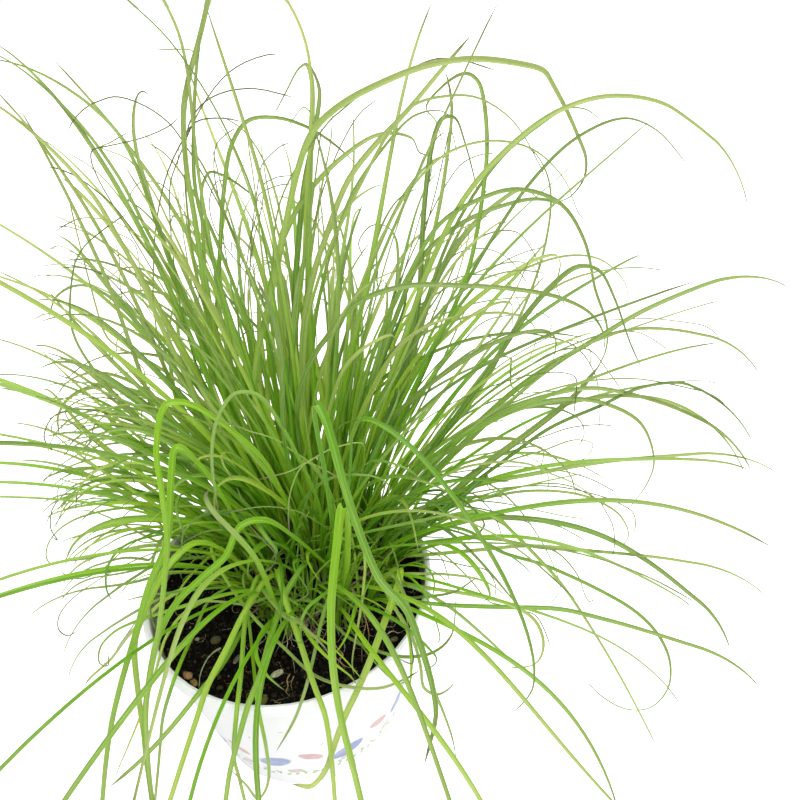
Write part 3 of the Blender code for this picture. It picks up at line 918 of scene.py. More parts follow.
    (3, LOW_RIGHT, "", (435, 512, 478, 500, 525, 491, 572, 493, 600, 502, 620, 516, 628, 535, 620, 549)),
    (2, LOW_RIGHT, "", (470, 490, 500, 465, 545, 450, 575, 440, 592, 444, 587, 456, 575, 462)),
    (2, LOW_RIGHT, "", (460, 480, 500, 455, 540, 447, 543, 455, 540, 470, 542, 478)),
    (2, LOW_RIGHT, "", (440, 475, 484, 482, 510, 500, 540, 540, 556, 573, 560, 588, 549, 606)),
    (6, 0.0, "", (400, 530, 450, 517, 505, 517, 560, 523, 605, 537, 650, 563, 702, 604)),
    (4, 0.0, "", (420, 545, 480, 537, 535, 547, 600, 552, 660, 558, 704, 565)),
    (4, 0.0, "", (405, 557, 470, 551, 530, 546, 575, 549, 602, 551)),
    (1.2, 0.0, "", (475, 495, 492, 512, 500, 532, 502, 540)),
    (4, 0.0, "dark", (438, 525, 458, 540, 480, 562, 500, 585, 515, 603)),
    (4, -0.02, "", (470, 532, 500, 551, 540, 563, 560, 571, 600, 590, 635, 611, 658, 635,
        669, 661, 667, 688, 650, 707, 625, 708, 600, 694, 586, 680)),
    (4, -0.02, "pale", (500, 520, 530, 550, 560, 583, 590, 627, 622, 681, 657, 748)),
    (5, -0.02, "dark", (405, 601, 445, 605, 505, 607, 560, 609, 600, 618, 640, 629, 704, 649)),
    (3, -0.02, "", (410, 574, 450, 575, 485, 582, 508, 598)),
    (3, -0.02, "", (415, 598, 455, 592, 478, 577)),
    (4, -0.03, "", (420, 590, 450, 608, 480, 633, 515, 665)),
    (4, -0.03, "pale", (430, 588, 470, 594, 515, 606, 536, 622, 543, 645, 536, 662, 518, 667, 508, 666)),
    (2, 0.0, "", (500, 540, 548, 548, 562, 556, 578, 576, 584, 593, 589, 601, 596, 598)),
    (1.2, 0.0, "", (600, 503, 612, 525, 614, 545, 612, 557)),
    (6.5, FRONT, "near pale", (303, 560, 287, 508, 262, 460, 220, 423, 185, 403, 166, 405, 157, 450, 162, 487,
        168, 540, 166, 570, 160, 625, 151, 675, 147, 710, 150, 770, 154, 802)),
    (7.5, FRONT, "near", (235, 520, 200, 468, 177, 448, 172, 480, 168, 540, 150, 585,
        136, 635, 124, 675, 113, 720, 107, 760, 103, 804)),
    (5, -0.05, "near", (310, 480, 281, 424, 259, 396, 236, 394, 219, 416, 212, 452, 216, 497, 219, 515)),
    (8, -0.075, "near", (274, 602, 268, 585, 256, 560, 245, 546, 232, 532,
        216, 516, 208, 504, 206, 496, 210, 490)),
    (7, FRONT, "near", (330, 570, 295, 540, 265, 521, 241, 526, 226, 556, 205, 575,
        175, 605, 158, 640, 147, 700, 145, 735, 153, 802)),
    (3, -0.03, "near", (280, 545, 235, 531, 205, 532, 180, 545)),
    (6, -0.08, "near dark", (352, 460, 355, 430, 365, 420, 397, 436, 429, 467, 469, 520,
        500, 572, 515, 603, 526, 632, 533, 665, 531, 690, 513, 713)),
    (3, -0.02, "near", (287, 560, 297, 532, 311, 490, 325, 460)),
    (9, -0.09, "near dark", (334, 520, 325, 460, 317, 415, 317, 405, 325, 420, 343, 483, 360, 535,
        380, 580, 405, 608, 420, 645, 433, 692, 435, 715, 428, 748, 424, 765)),
    (4, -0.02, "near pale", (350, 503, 370, 475, 400, 438, 440, 395, 450, 385)),
    (9, -0.09, "near pale", (346, 560, 345, 520, 342, 508, 338, 540, 332, 600,
        333, 660, 341, 715, 352, 760, 362, 802)),
    (1.5, -0.03, "near", (330, 450, 312, 460, 290, 472, 258, 480)),
    (1.5, -0.03, "near", (330, 530, 300, 512, 268, 506, 235, 510, 224, 513)),
    (4, -0.06, "", (225, 590, 210, 600, 195, 632, 181, 662, 170, 692, 163, 718, 160, 750, 155, 802)),
    (6.5, FRONT, "pale", (262, 585, 243, 615, 226, 650, 208, 685, 198, 715, 183, 760, 169, 804)),
    (6, FRONT, "", (240, 635, 222, 665, 200, 692, 170, 729, 141, 760, 110, 787)),
    (5, -0.07, "", (252, 590, 246, 615, 241, 675, 236, 720, 234, 755, 239, 775, 245, 800)),
    (6.5, -0.08, "", (300, 570, 285, 595, 272, 632, 260, 675, 248, 705, 238, 740, 230, 770, 225, 804)),
    (4, -0.07, "", (244, 580, 250, 625, 254, 665, 259, 710, 266, 745,
        269, 775, 264, 792, 257, 798, 246, 785, 232, 771)),
    (4, -0.06, "", (215, 560, 228, 582, 252, 615, 285, 648, 315, 675,
        345, 686, 380, 688, 405, 679, 418, 671)),
    (6, -0.08, "pale", (280, 580, 287, 605, 300, 642, 314, 685, 325, 715, 331, 755, 335, 804)),
    (4, -0.07, "dark", (335, 580, 323, 615, 314, 655, 305, 690, 295, 718, 277, 750)),
    (7.5, -0.08, "", (398, 585, 385, 620, 372, 655, 358, 688, 345, 715,
        335, 742, 325, 770, 310, 786, 292, 784)),
    (4, -0.06, "", (320, 610, 350, 638, 375, 650, 405, 657, 435, 652, 452, 636, 456, 612, 456, 600)),
    (4, -0.06, "", (385, 590, 400, 617, 413, 640, 420, 665, 424, 688, 438, 695, 452, 687, 454, 681)),
    (4, -0.08, "", (402, 590, 420, 640, 434, 690, 443, 712, 452, 738, 456, 758)),
    (3, TALL_LEFT, "", (172, 230, 152, 190, 128, 160, 100, 147, 110, 142, 120, 136, 131, 130)),
    (3, LOW_LEFT, "", (75, 262, 85, 245, 100, 232, 112, 223, 121, 217, 128, 213)),
    (1, TALL_MIDDLE, "", (255, 232, 262, 205, 264, 184, 270, 180, 277, 177, 295, 175)),
    (1, TALL_MIDDLE, "", (250, 240, 256, 215, 258, 196, 264, 191, 280, 185, 295, 184)),
    (1, TALL_MIDDLE, "", (252, 230, 257, 192, 262, 165, 266, 160, 280, 147, 293, 142)),
    (1.2, TALL_RIGHT, "", (436, 190, 445, 150, 450, 130, 453, 137, 455, 147, 458, 157)),
    (1.2, TALL_RIGHT, "", (425, 200, 432, 170, 433, 150, 437, 139, 448, 130)),
    (1.2, TALL_RIGHT, "", (455, 350, 484, 322, 517, 315, 545, 315, 551, 325, 548, 333)),
    (1.2, TALL_RIGHT, "", (440, 362, 462, 342, 478, 337, 495, 340, 507, 358, 512, 365, 518, 369)),
    (1.5, 0.06, "", (520, 372, 555, 352, 588, 350, 608, 372, 622, 392)),
    (1, 0.06, "", (560, 332, 590, 322, 620, 320, 650, 319, 680, 322, 700, 325)),
    (2, 0.06, "", (560, 350, 600, 335, 635, 332, 650, 338, 670, 352)),
    (1.2, LOW_LEFT, "", (170, 500, 145, 510, 135, 508, 128, 513, 120, 520)),
    (1.2, 0.0, "", (150, 600, 132, 628, 118, 648, 112, 660, 103, 664)),
    (2, -0.04, "near", (330, 490, 318, 470, 308, 463, 300, 470, 295, 480,
        291, 492, 289, 505, 289, 520, 290, 535)),
    (2, -0.03, "near", (322, 480, 308, 462, 290, 450, 280, 442, 265, 436, 250, 432, 235, 426, 220, 423)),
    (7, FRONT, "", (165, 570, 150, 600, 136, 640, 139, 690, 145, 735, 150, 775, 153, 803)),
    (3, -0.07, "", (165, 640, 150, 690, 141, 715, 131, 740, 119, 768, 115, 778)),
    (3, -0.05, "", (365, 570, 362, 600, 357, 630, 352, 662, 354, 675)),
    (4, -0.05, "", (275, 595, 245, 605, 225, 603, 205, 602, 185, 604)),
    (4, -0.06, "dark", (270, 600, 287, 619, 297, 622, 310, 633, 325, 648, 330, 658)),
    (5, LOW_RIGHT, "", (440, 470, 485, 425, 525, 407, 570, 402, 618, 396, 660, 400, 683, 408, 702, 419)),
    (3, 0.0, "", (510, 462, 530, 465, 550, 474, 572, 483, 592, 496, 600, 501)),
    (3, 0.0, "", (470, 508, 500, 523, 520, 538, 535, 556)),
    (1.2, 0.0, "", (490, 602, 520, 610, 535, 615, 547, 637, 550, 648)),
    (1.2, 0.0, "", (612, 500, 632, 512, 635, 523, 633, 535)),
    (2, 0.0, "", (530, 520, 560, 527, 575, 535, 590, 543)),
    (1.2, 0.0, "", (425, 550, 440, 557, 445, 568, 450, 585)),
    (1.2, 0.0, "", (440, 560, 470, 567, 485, 570, 495, 585, 494, 600)),
    (1.2, -0.05, "", (388, 676, 400, 683, 410, 676, 418, 671)),
)


def blocked(point):
    """True where the pot, the soil or the table is in the leaf's way."""
    x, y, height = point
    radius = math.hypot(x, y)
    if height < low_corner[2]:
        return True
    if radius < OVER_SOIL:
        return height < soil_level(x, y) + ABOVE_SOIL
    beside_rim = radius < RIM_RADIUS + RIM_CLEARANCE and height < POT_HEIGHT + ABOVE_RIM
    return beside_rim and radius < wall_radius(height) + RIM_CLEARANCE + ABOVE_RIM


def clear_backs(places, backs):
    """How far back each point lies, moved nearer where the leaf would run through the pot or the table."""
    order = np.arange(len(places))
    for _ in range(CLEAR_STEPS):
        hit = [index for index in order if blocked(seen_at(*places[index], backs[index]))]
        if not hit:
            break
        for index in hit:
            backs = backs - CLEAR_STEP * np.exp(-(((order - index) / CLEAR_SPREAD) ** 2))
    return backs


def clear_rise(path):
    """The path from a leaf's foot, lifted in its middle until it passes above the pot's rim."""
    bulge = np.sin(np.linspace(0, math.pi, len(path)))[:, None] * (0, 0, LIFT_STEP)
    for _ in range(LIFTS):
        near_rim = (point for point in through(path) if math.hypot(point[0], point[1]) > NEAR_RIM)
        if not any(blocked(point) for point in near_rim):
            break
        path = path + bulge
    return path


def run_on(line, reach):
    """A leaf cut by the picture's edge runs on this far, sinking a little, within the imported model's box."""
    way = unit(line[-1] - line[-2])
    added = []
    last = line[-1]
    for _ in range(RUN_ON_STEPS):
        way = unit(way - (0, 0, SINKING))
        last = last + way * reach / RUN_ON_STEPS
        if (last < low_corner).any() or (last > high_corner).any() or blocked(last):
            break
        added.append(last)
    return np.vstack((line, *added)) if added else line


def rooted(places, tip_back):
    """The shoot that a leaf belongs to, its foot there, and its points on their lines of sight."""
    foot = np.array((*CROWN_MIDDLE, SOIL_EDGE_HEIGHT + SOIL_RISE))
    for _ in range(2):
        start = np.array(picture_place(foot)[:2])
        steps = np.linalg.norm(np.diff(np.vstack((start, places)), axis=0), axis=1)
        gone = (np.cumsum(steps) / steps.sum()) ** (1.3 if tip_back > 0 else 0.8)
        backs = clear_backs(places, foot[1] + (tip_back - foot[1]) * gone)
        line = np.array([seen_at(*pixel, back) for pixel, back in zip(places, backs)])
        lean = line[0][:2] - CROWN_MIDDLE
        reach = min(1.0, np.linalg.norm(lean) / max(0.02, line[0][2] - SOIL_EDGE_HEIGHT))
        wanted = CROWN_MIDDLE + CROWN_RADIUS * 0.95 * reach**0.7 * lean / max(1e-6, np.linalg.norm(lean))
        crowd = np.array([tuft["leaves"] for tuft in tufts]) * CROWDING
        number = int(np.argmin(np.linalg.norm(roots[:, :2] - wanted, axis=1) + crowd))
        foot = near_root(number)
    return number, foot, line


def led_up(foot, line):
    """The stretch from the foot, straight up at first, to where the line that the picture shows starts."""
    apart = np.linalg.norm(line[0] - foot)
    rise = np.array((0, 0, 1.0)) * apart
    t = np.linspace(0, 1, 6)[:-1, None]
    led = (2 * t**3 - 3 * t**2 + 1) * foot + (t**3 - 2 * t**2 + t) * rise
    led = led + (3 * t**2 - 2 * t**3) * line[0] + (t**3 - t**2) * unit(line[2] - line[0]) * apart
    return clear_rise(np.vstack((led, line[:1])))[:-1]


def seen_widths(pixels_wide, depths, at, cut):
    """A leaf's widths from its foot to its tip, from its width in the picture and how far away it is."""
    seen_width = pixels_wide * depths.min() / FOCAL_PIXELS
    width = np.full(len(at), np.clip(WIDER_THAN_SEEN * seen_width, 1.3 * THREAD_WIDTH, WIDEST))
    foot_width = max(THREAD_FOOT if pixels_wide < THREAD_PIXELS else BLADE_FOOT, width[0] * 0.85)
    if pixels_wide < THREAD_PIXELS:
        above_thread = max(0.0, pixels_wide * depths.mean() / FOCAL_PIXELS - SEEN_ROLLED)
        width = THREAD_WIDTH + SEEN_SHARE * above_thread * np.interp(at, (at[0], 0.9, 1), (1.7, 1.2, 0.8))
    elif cut:
        width = width * np.interp(at, (0.45, at[-1]), (1, 0.78))
    else:
        width = width * np.interp(at, (0.5, 0.78, 0.94, 1), (1, 0.90, 0.66, 0.3))
    return (0, foot_width), *zip(at, width), (1.0001, THREAD_WIDTH)


def seen_tone(look, tip_back, last_across):
    """How light a leaf is painted: darker at the right and lighter at the left, as painted shade and light
    across the clump, and as its look says, where a dark look is painted shade.
    """
    tone = chance.uniform(0.45, 0.95) if tip_back < -0.03 else chance.uniform(0.25, 0.95)
    tone += -RIGHT_PAINTED_SHADE if last_across > RIGHT_FROM else LEFT_PAINTED_LIGHT if last_across < LEFT_TO else 0.0
    # A dark look is painted shade: the leaf is toned darker where it lies in shade.
    if "dark" in look:
        tone *= 0.55
    elif "pale" in look:
        tone = 0.5 + 0.5 * tone
    return min(tone, PALEST_NEAR if "near" in look else 1.0)


for pixels_wide, tip_back, look, places in SEEN_LEAVES:
    places = through(np.array(places, float).reshape(-1, 2))[::2]
    near = "near" in look
    number, foot, line = rooted(places, tip_back)
    led = led_up(foot, line)
    depths = np.array([picture_place(point)[2] for point in line])
    last_across, last_down = places[-1]
    cut = not (LEFT_EDGE < last_across < RIGHT_EDGE and TOP_EDGE < last_down < BOTTOM_EDGE)
    if cut:
        line = run_on(line, RUN_ON_FAR if pixels_wide >= 3 else RUN_ON_THREAD)
    whole = np.vstack((led, np.clip(line, low_corner, high_corner)))
    run = np.concatenate(([0], np.cumsum(np.linalg.norm(np.diff(whole, axis=0), axis=1))))
    at = run[len(led) : len(led) + len(places)] / run[-1]
    if pixels_wide < THREAD_PIXELS:
        dry_from = 0.92 if near else 0.55
    else:
        dry_from = 0.95 if cut else chance.uniform(0.90, 0.97)
    tone = seen_tone(look, tip_back, last_across)
    older = last_across > RIGHT_FROM or SIDE_BACKS[0] < tip_back < SIDE_BACKS[1]
    ages = FRESH if near else OLDER if older else NORMAL
    widths = seen_widths(pixels_wide, depths, at, cut)
    add_leaf(tufts[number], whole, widths, tone, chance.uniform(-0.5, 0.5), dry_from, ages, flat_to_eye=0.8)

# The rest of each shoot's leaves.
# Younger and shorter ones that spread round its main leaf, the outer ones leaning out the most. They stay
# inside the clump's outline in the picture, which is given by the corners of its full part.
INNER_LEAVES = 14
OUTER_LEAVES = 10
FRONT_LEAVES = 1
LEAF_WIDTHS = (0.0019, 0.0030)
FRONT_WIDTHS = (0.0014, 0.0020)
THINNER_OUTSIDE = 0.0003
GROWN_SPREAD = 0.0024
SHORTENINGS = 7
SHORTER = 0.9
THREAD_LEAVES = 0.11
THREAD_LEAF_WIDTH = 0.0012
FULL_GROWN = 0.155
NEAREST = 0.205
THINNER_TO_THE_RIGHT = 0.70
LONGER_TO_THE_LEFT = 0.14
# How much lighter the leaves leaning to the left are toned: painted light on that side of the clump.
PAINTED_LIGHT_TO_THE_LEFT = 0.30
LEFT_TURN = math.radians(-30)
MIDDLE_LENGTH = 0.225
EDGE_LENGTH = 0.200
STRAIGHT_FOOT = 0.004
LEAN_WITHIN = 0.014
CURL_FROM = 0.70
CURLS = (0.0, 0.4, 0.9, 1.7, -0.9, 2.6, 3.4)
FULL_OUTLINE = np.array((
    (60, 640), (40, 520), (30, 300), (60, 130), (120, 110), (180, 70), (240, 100),
    (310, 80), (350, 130), (400, 130), (450, 110), (490, 150), (520, 200), (560, 260),
    (590, 330), (610, 400), (610, 480), (580, 550), (520, 590), (460, 610), (440, 640),
    (430, 690), (400, 715), (340, 790), (240, 800), (100, 820), (80, 740),
))


def in_outline(across, down):
    """True if a point of the picture lies inside the clump's outline."""
    inside = False
    for (x1, y1), (x2, y2) in zip(FULL_OUTLINE, np.roll(FULL_OUTLINE, 1, axis=0)):
        if (y1 > down) != (y2 > down) and across < x1 + (down - y1) * (x2 - x1) / (y2 - y1):
            inside = not inside
    return inside


def heading_out(point):
    """The way from the crown's middle to a point, seen from above."""
    x, y = point[:2] - CROWN_MIDDLE
    return math.atan2(y, x)


def grown_path(foot, heading, lean, bow, length, curl, drift, steps=18):
    """A leaf that rises from its foot, leans out, sways a little, bows over and curls at the tip."""
    path = [foot, foot + (0, 0, STRAIGHT_FOOT)]
    phase = drift * 40
    for step in range(steps):
        along = (step + 0.5) / steps
        late = max(0.0, (along - CURL_FROM) / (1 - CURL_FROM))
        angle = lean * (1 - math.exp(-along * length / LEAN_WITHIN)) + bow * along**1.4 + curl * late**2
        way = heading + drift * along**1.3 + 0.22 * along * math.sin(6.5 * along + phase)
        way += curl * 0.6 * late**2
        on = np.array((math.sin(angle) * math.cos(way), math.sin(angle) * math.sin(way), math.cos(angle)))
        path.append(path[-1] + length / steps * on)
    return np.array(path)


def fits(path):
    """True if a leaf clears the pot and the eye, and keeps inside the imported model's box and the outline."""
    for point in path[4:]:
        if (point < low_corner).any() or (point > high_corner).any() or blocked(point):
            return False
        if picture_place(point)[2] < NEAREST:
            return False
    return all(in_outline(*picture_place(point)[:2]) for point in path[-6:])


for number in range(SHOOTS):
    share = min(1.0, np.linalg.norm(roots[number][:2] - CROWN_MIDDLE) / CROWN_RADIUS)
    heading = heading_out(roots[number])
    leaves = INNER_LEAVES + (OUTER_LEAVES - INNER_LEAVES) * share
    leaves *= 1 - THINNER_TO_THE_RIGHT * (0.5 + 0.5 * math.cos(heading))
    front = share > 0.5 and math.sin(heading) < -0.4
    for _ in range(FRONT_LEAVES if front else round(leaves)):
        own_heading = heading + chance.gauss(0, 0.42 + 0.9 * (1 - share) ** 2)
        size = (MIDDLE_LENGTH + (EDGE_LENGTH - MIDDLE_LENGTH) * share) * chance.uniform(0.42, 1.02)
        lean = math.radians(3 + 47 * share**1.2) * chance.uniform(0.40, 1.1)
        bow = math.radians(24 + 66 * share) * chance.uniform(0.4, 1.5)
        curl = chance.choice(CURLS) * chance.uniform(0.6, 1.2)
        to_left = max(0.0, -math.cos(own_heading - LEFT_TURN))
        size *= 1 + LONGER_TO_THE_LEFT * to_left
        curl *= 1 - 0.7 * to_left
        drift = chance.gauss(0.08, 0.68)
        foot = near_root(number, GROWN_SPREAD)
        width = chance.uniform(*(FRONT_WIDTHS if front else LEAF_WIDTHS))
        width -= 0 if front else THINNER_OUTSIDE * share
        thread = not front and chance.random() < THREAD_LEAVES and share > 0.5
        if thread:
            size *= 0.9
            curl, width = chance.choice((-1, 1, 1)) * chance.uniform(1.5, 4.5), THREAD_LEAF_WIDTH
        for _ in range(SHORTENINGS):
            path = grown_path(foot, own_heading, lean, bow, size, curl, drift)
            if fits(path):
                widths = grown_widths(width, 0.3 if thread else chance.uniform(0.6, 0.82))
                dry_from = chance.uniform(0.35, 0.6) if thread else chance.uniform(0.93, 0.985)
                youngest, oldest, ageing = OLDER if share > 0.6 and math.cos(own_heading) > 0.3 else NORMAL
                ages = (youngest, oldest * min(1.0, size / FULL_GROWN), ageing)
                # Leaves leaning to the left are toned lighter: painted light on that side of the clump.
                tone = min(1.0, chance.random() + PAINTED_LIGHT_TO_THE_LEFT * to_left)
                add_leaf(tufts[number], path, widths, tone, chance.uniform(-1.6, 1.6), dry_from, ages)
                break
            size *= SHORTER

# Young leaves at the foot of the clump.
# Short, thin, pale green leaves that have just come up between the shoots, bending every way, most of them
# where the light gets in at the front of the crown.
YOUNG_LEAVES = 200
YOUNG_LENGTHS = (0.015, 0.065)
YOUNG_WIDTHS = (0.0010, 0.0019)
YOUNG_SPREAD = 0.0035
for _ in range(YOUNG_LEAVES):
    number = min(SHOOTS - 1, int(SHOOTS * math.sqrt(chance.uniform(0.25, 1))))
    heading = chance.uniform(-math.pi, math.pi)
    if math.sin(heading_out(roots[number])) > 0.5 and chance.random() < 0.6:
        continue
    size = chance.uniform(*YOUNG_LENGTHS)
    foot, lean, bow = near_root(number, YOUNG_SPREAD), chance.uniform(0.2, 1.1), chance.uniform(0.4, 1.6)
    path = grown_path(foot, heading, lean, bow, size, chance.gauss(0, 0.8), chance.gauss(0, 0.8), 12)
    if not any(blocked(point) for point in path[3:]):
        widths = grown_widths(chance.uniform(*YOUNG_WIDTHS))
        add_leaf(tufts[number], path, widths, chance.uniform(0.45, 1.0), chance.uniform(-1, 1), ages=YOUNG)

for number, tuft in enumerate(tufts, 1):
    tuft_piece(f"leaves_of_shoot_{number:02d}", tuft, leaf_finish, [f"shoot_{number:02d}"])

# Old sheaths at the foot of the clump.
# Last year's leaf bases, dead and papery, tan to grey. They stand and bend round the outer shoots' feet, each
# still held by its shoot.
OLD_SHEATHS = 90
SHEATH_LENGTHS = (0.008, 0.030)
SHEATH_WIDTHS = (0.0011, 0.0026)
SHEATH_TIP = 0.0005
SHEATH_SPREAD = 0.003
OUTER_FROM = 0.45
SHEATH_BROWN = rgb(112, 92, 62)
SHEATH_TAN = rgb(158, 138, 98)
SHEATH_STRAW = rgb(186, 172, 132)
SHEATH_GREEN = rgb(150, 160, 96)
SHEATH_VEIN = rgb(104, 84, 56)
SHEATH_SPOT = rgb(74, 58, 38)
chance = random.Random(31)
sheath_finish, write = new_material("dry_papery_sheath")
own, across = write.add("ShaderNodeAttribute", out=("Color", "Alpha"), attribute_name="leaf_shade")
tone = write.add("ShaderNodeSeparateColor", {0: own}, out=2)
body = write.ramp(tone, [(0.0, SHEATH_BROWN), (0.4, SHEATH_TAN), (0.75, SHEATH_STRAW), (1.0, SHEATH_GREEN)])
fibre = write.math("SINE", write.times(across, 60.0))
body = write.mix(write.spread(fibre, -0.3, 1.0, 0.0, 0.45), body, SHEATH_VEIN)
body = write.mix(patches(write, write.place(), 500.0, 0.45, 0.7, 0.0, 0.7, 4.0), body, SHEATH_SPOT)
write.show(write.coated(body, 0.8, 0.2, (0.5, 0.0002, fibre)))
sheaths = new_tuft()
outer_shoots = []
for number in range(SHOOTS):
    if np.linalg.norm(roots[number][:2] - CROWN_MIDDLE) > CROWN_RADIUS * OUTER_FROM:
        outer_shoots.append(number)
for _ in range(OLD_SHEATHS):
    number = chance.choice(outer_shoots)
    heading = heading_out(roots[number]) + chance.gauss(0, 0.9)
    size = chance.uniform(*SHEATH_LENGTHS)
    foot, lean, bow = near_root(number, SHEATH_SPREAD), chance.uniform(0.1, 1.0), chance.uniform(0.3, 2.2)
    path = grown_path(foot, heading, lean, bow, size, chance.gauss(0, 1.5), chance.gauss(0, 1.5), 10)
    if not any(blocked(point) for point in path[4:]):
        width = chance.uniform(*SHEATH_WIDTHS)
        widths = ((0, width), (0.5, width * 0.8), (1, SHEATH_TIP))
        add_leaf(sheaths, path, widths, chance.random(), chance.uniform(-2.5, 2.5))
tuft_piece("old_sheaths", sheaths, sheath_finish)

# Fine roots at the foot of the clump.
# Pale, wiry root fibres, thinner than half a millimetre, that have come out above the soil. They tangle
# between the outer shoots and curl down on to the crumbs. The reddish ones at the right are in the picture.
ROOT_FIBRES = 110
ROOT_RADII = (0.00012, 0.00024)
ROOT_SPREAD = 0.002
ROOT_START = 0.009
ROOT_STEPS = (0.0011, 0.0021)
ROOT_SHADES = ((196, 186, 158), (170, 156, 122), (206, 202, 184), (142, 122, 88), (182, 166, 120))
PEAT_FIBRES = 260
PEAT_FIBRE_RADII = (0.00008, 0.00018)
PEAT_FIBRE_STEPS = (0.0005, 0.0011)
PEAT_FIBRE_START = 0.0006
PEAT_FIBRE_LIFTS = (0.0005, 0.0011)
PEAT_FIBRE_SHADES = ((92, 76, 52), (62, 50, 34), (126, 108, 76), (44, 36, 25), (148, 138, 110))
FIBRE_SIDES = 5
FIBRE_LIFT = 0.0003
FIRST_SIDE = np.array((0.31, 0.17, 0.93))
WALL_GAP = 0.001
RED_ROOT = rgb(184, 150, 112)
WHITE_ROOT = rgb(206, 200, 176)
PALE_STEM = rgb(150, 168, 122)
DRY_STRIP = rgb(160, 136, 96)
ROOT_DIRT = rgb(92, 72, 46)
chance = random.Random(37)
fibres = {"vertices": [], "faces": [], "shades": []}


def add_fibre(path, radius, shade):
    """Adds a thin tapering tube along the path to the fibres."""
    spine, share, ways = paced(through(path))
    start = len(fibres["vertices"])
    for point, way, side, done in zip(spine, ways, carried(FIRST_SIDE, ways), share):
        other = np.cross(way, side)
        thick = radius * (1 - 0.75 * done)
        for turn in np.arange(FIBRE_SIDES) * math.tau / FIBRE_SIDES:
            fibres["vertices"].append(point + thick * (side * math.cos(turn) + other * math.sin(turn)))
            fibres["shades"].append(shade)
    last = start + (len(spine) - 1) * FIBRE_SIDES
    for ring in range(start, last, FIBRE_SIDES):
        for column in range(FIBRE_SIDES):
            corner, following = ring + column, ring + (column + 1) % FIBRE_SIDES
            fibres["faces"].append((corner, following, following + FIBRE_SIDES, corner + FIBRE_SIDES))
    ends = (range(start + FIBRE_SIDES - 1, start - 1, -1), range(last, last + FIBRE_SIDES))
    fibres["faces"] += [tuple(end) for end in ends]


def rested(point, lift):
    """The point, raised to this far above the soil's surface if it is lower."""
    return np.array((point[0], point[1], max(point[2], soil_top(point[0], point[1]) + lift)))


for _ in range(ROOT_FIBRES):
    number = chance.choice(outer_shoots)
    aside = chance.gauss(0, ROOT_SPREAD), chance.gauss(0, ROOT_SPREAD)
    point = roots[number] + (*aside, chance.uniform(0.0, ROOT_START))
    heading = heading_out(point) + chance.gauss(0, 0.8)
    swing, rise = chance.gauss(0, 0.35), chance.uniform(-0.2, 0.6)
    path = [rested(point, FIBRE_LIFT)]
    for _ in range(chance.randrange(7, 17)):
        swing = 0.7 * swing + chance.gauss(0, 0.45)
        heading += swing
        rise -= 0.14
        step = chance.uniform(*ROOT_STEPS)
        climb = max(-0.9, rise + chance.gauss(0, 0.3))
        point = path[-1] + step * np.array((math.cos(heading), math.sin(heading), climb))
        if math.hypot(point[0], point[1]) > soil_radius - WALL_GAP:
            break
        path.append(rested(point, FIBRE_LIFT))
    if len(path) > 4:
        add_fibre(path, chance.uniform(*ROOT_RADII), rgb(*chance.choice(ROOT_SHADES)))
for _ in range(PEAT_FIBRES):
    x, y = anywhere_on_soil(0.98)
    heading = chance.uniform(0, math.tau)
    path = [rested((x, y, 0), PEAT_FIBRE_START)]
    for _ in range(chance.randrange(3, 7)):
        heading += chance.gauss(0, 0.5)
        step = chance.uniform(*PEAT_FIBRE_STEPS)
        x, y = path[-1][0] + step * math.cos(heading), path[-1][1] + step * math.sin(heading)
        if math.hypot(x, y) > soil_radius - WALL_GAP:
            break
        path.append(rested((x, y, 0), chance.uniform(*PEAT_FIBRE_LIFTS)))
    if len(path) > 2:
        add_fibre(path, chance.uniform(*PEAT_FIBRE_RADII), rgb(*chance.choice(PEAT_FIBRE_SHADES)))
SEEN_ROOTS = (
    # shade, radius, height of its first and last point, and its places in the picture
    (RED_ROOT, 0.00028, 0.100, 0.0825, (351, 588, 358, 600, 363, 612, 366, 622,
        364, 632, 362, 645, 362, 662)),
    (RED_ROOT, 0.00022, 0.090, 0.0825, (366, 620, 369, 635, 367, 650)),
    (RED_ROOT, 0.00030, 0.084, 0.0822, (334, 642, 337, 648, 343, 655, 340, 660, 345, 666, 352, 668)),
    (RED_ROOT, 0.00022, 0.083, 0.0822, (334, 656, 339, 661, 345, 668)),
    (WHITE_ROOT, 0.00020, 0.083, 0.0822, (387, 634, 393, 631, 398, 633, 405, 630)),
    (WHITE_ROOT, 0.00024, 0.090, 0.0825, (290, 618, 287, 626, 292, 633, 288, 640, 280, 645, 276, 652)),
    (WHITE_ROOT, 0.00018, 0.088, 0.0822, (300, 622, 304, 630, 312, 634, 318, 628, 326, 630, 332, 624)),
    (WHITE_ROOT, 0.00018, 0.092, 0.0825, (336, 604, 340, 612, 348, 614, 352, 622, 346, 628, 338, 626)),
    (WHITE_ROOT, 0.00018, 0.088, 0.0825, (270, 622, 262, 630, 266, 638, 258, 646, 262, 654)),
    (PALE_STEM, 0.00045, 0.084, 0.0825, (221, 648, 214, 652, 208, 658, 203, 667, 200, 676, 199, 688)),
    (DRY_STRIP, 0.00030, 0.0835, 0.0822, (290, 674, 287, 680, 288, 686, 286, 692, 290, 696)),
    (DRY_STRIP, 0.00022, 0.0835, 0.0822, (294, 676, 291, 684, 292, 690)),
)
for shade, radius, first_height, last_height, places in SEEN_ROOTS:
    places = np.array(places, float).reshape(-1, 2)
    heights = np.linspace(first_height, last_height, len(places))
    path = [rested(seen_on(*pixel, height), FIBRE_LIFT) for pixel, height in zip(places, heights)]
    add_fibre(path, radius, shade)

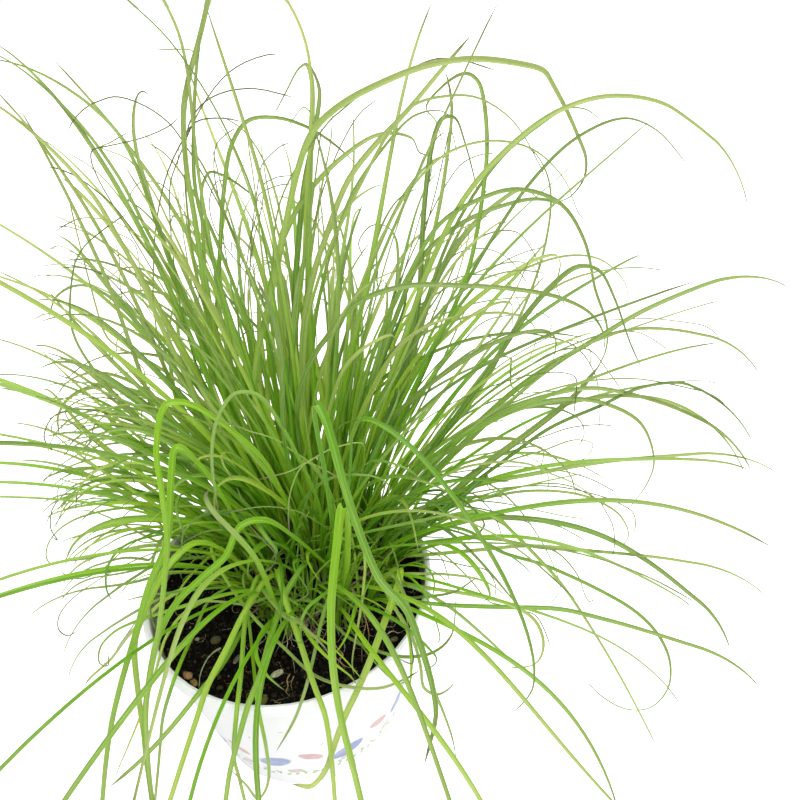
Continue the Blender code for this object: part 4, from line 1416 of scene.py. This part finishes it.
fibre_finish, write = new_material("wiry_root")
own = write.add("ShaderNodeAttribute", attribute_name="root_shade")
place = write.place()
body = write.mix(patches(write, place, 700.0, 0.42, 0.70, 0.0, 0.75, 4.0), own, ROOT_DIRT)
write.show(write.coated(body, 0.7, 0.25, (0.4, 0.0001, write.noise(place, 1600.0))))
piece = new_piece("root_fibres", fibres["vertices"], fibres["faces"], fibre_finish)
shade_points(piece, "root_shade", fibres["shades"])

# The floor and the light.
# A plain white table top in a bright white room, under a wide soft light from above. To the camera the table
# is as bright as the room, so that its edge doesn't show.
TABLE_HALF = 4.0
TABLE_WHITE = (0.90, 0.90, 0.90, 1)
TABLE_GLOW = 0.62
WHITE = (1.0, 1.0, 1.0, 1)
SKY_LIGHT = 0.72
SUN_LIGHT = 3.3
SUN_SPREAD = math.radians(50)
SUN_WAY = Vector((-0.35, 0.30, -1.0))

floor_finish, write = new_material("white_table")
shown = write.times(write.add("ShaderNodeLightPath", out="Is Camera Ray"), TABLE_GLOW)
inputs = {"Base Color": TABLE_WHITE, "Roughness": 0.8, "Emission Color": WHITE, "Emission Strength": shown}
write.show(write.add("ShaderNodeBsdfPrincipled", inputs))
mesh = bpy.data.meshes.new("table")
corners = [(x * TABLE_HALF, y * TABLE_HALF, 0) for x, y in ((-1, -1), (1, -1), (1, 1), (-1, 1))]
mesh.from_pydata(corners, [], [(0, 1, 2, 3)])
mesh.materials.append(floor_finish)
table = new_object("table", mesh)

world = bpy.data.worlds.new("bright_room")
bpy.context.scene.world = world
world.use_nodes = True
write = Nodes(world.node_tree)
seen = write.add("ShaderNodeLightPath", out="Is Camera Ray")
background = world.node_tree.nodes["Background"]
write.feed(background, {"Color": WHITE, "Strength": write.spread(seen, 0.0, 1.0, SKY_LIGHT, 1.0)})
light = bpy.data.lights.new("wide_soft_light", "SUN")
light.energy = SUN_LIGHT
light.angle = SUN_SPREAD
lamp = new_object("wide_soft_light", light)
lamp.rotation_euler = SUN_WAY.to_track_quat("-Z", "Y").to_euler()

view = bpy.context.scene.view_settings
view.view_transform = "Standard"
view.look = "None"
view.exposure = 0.0
view.gamma = 1.0
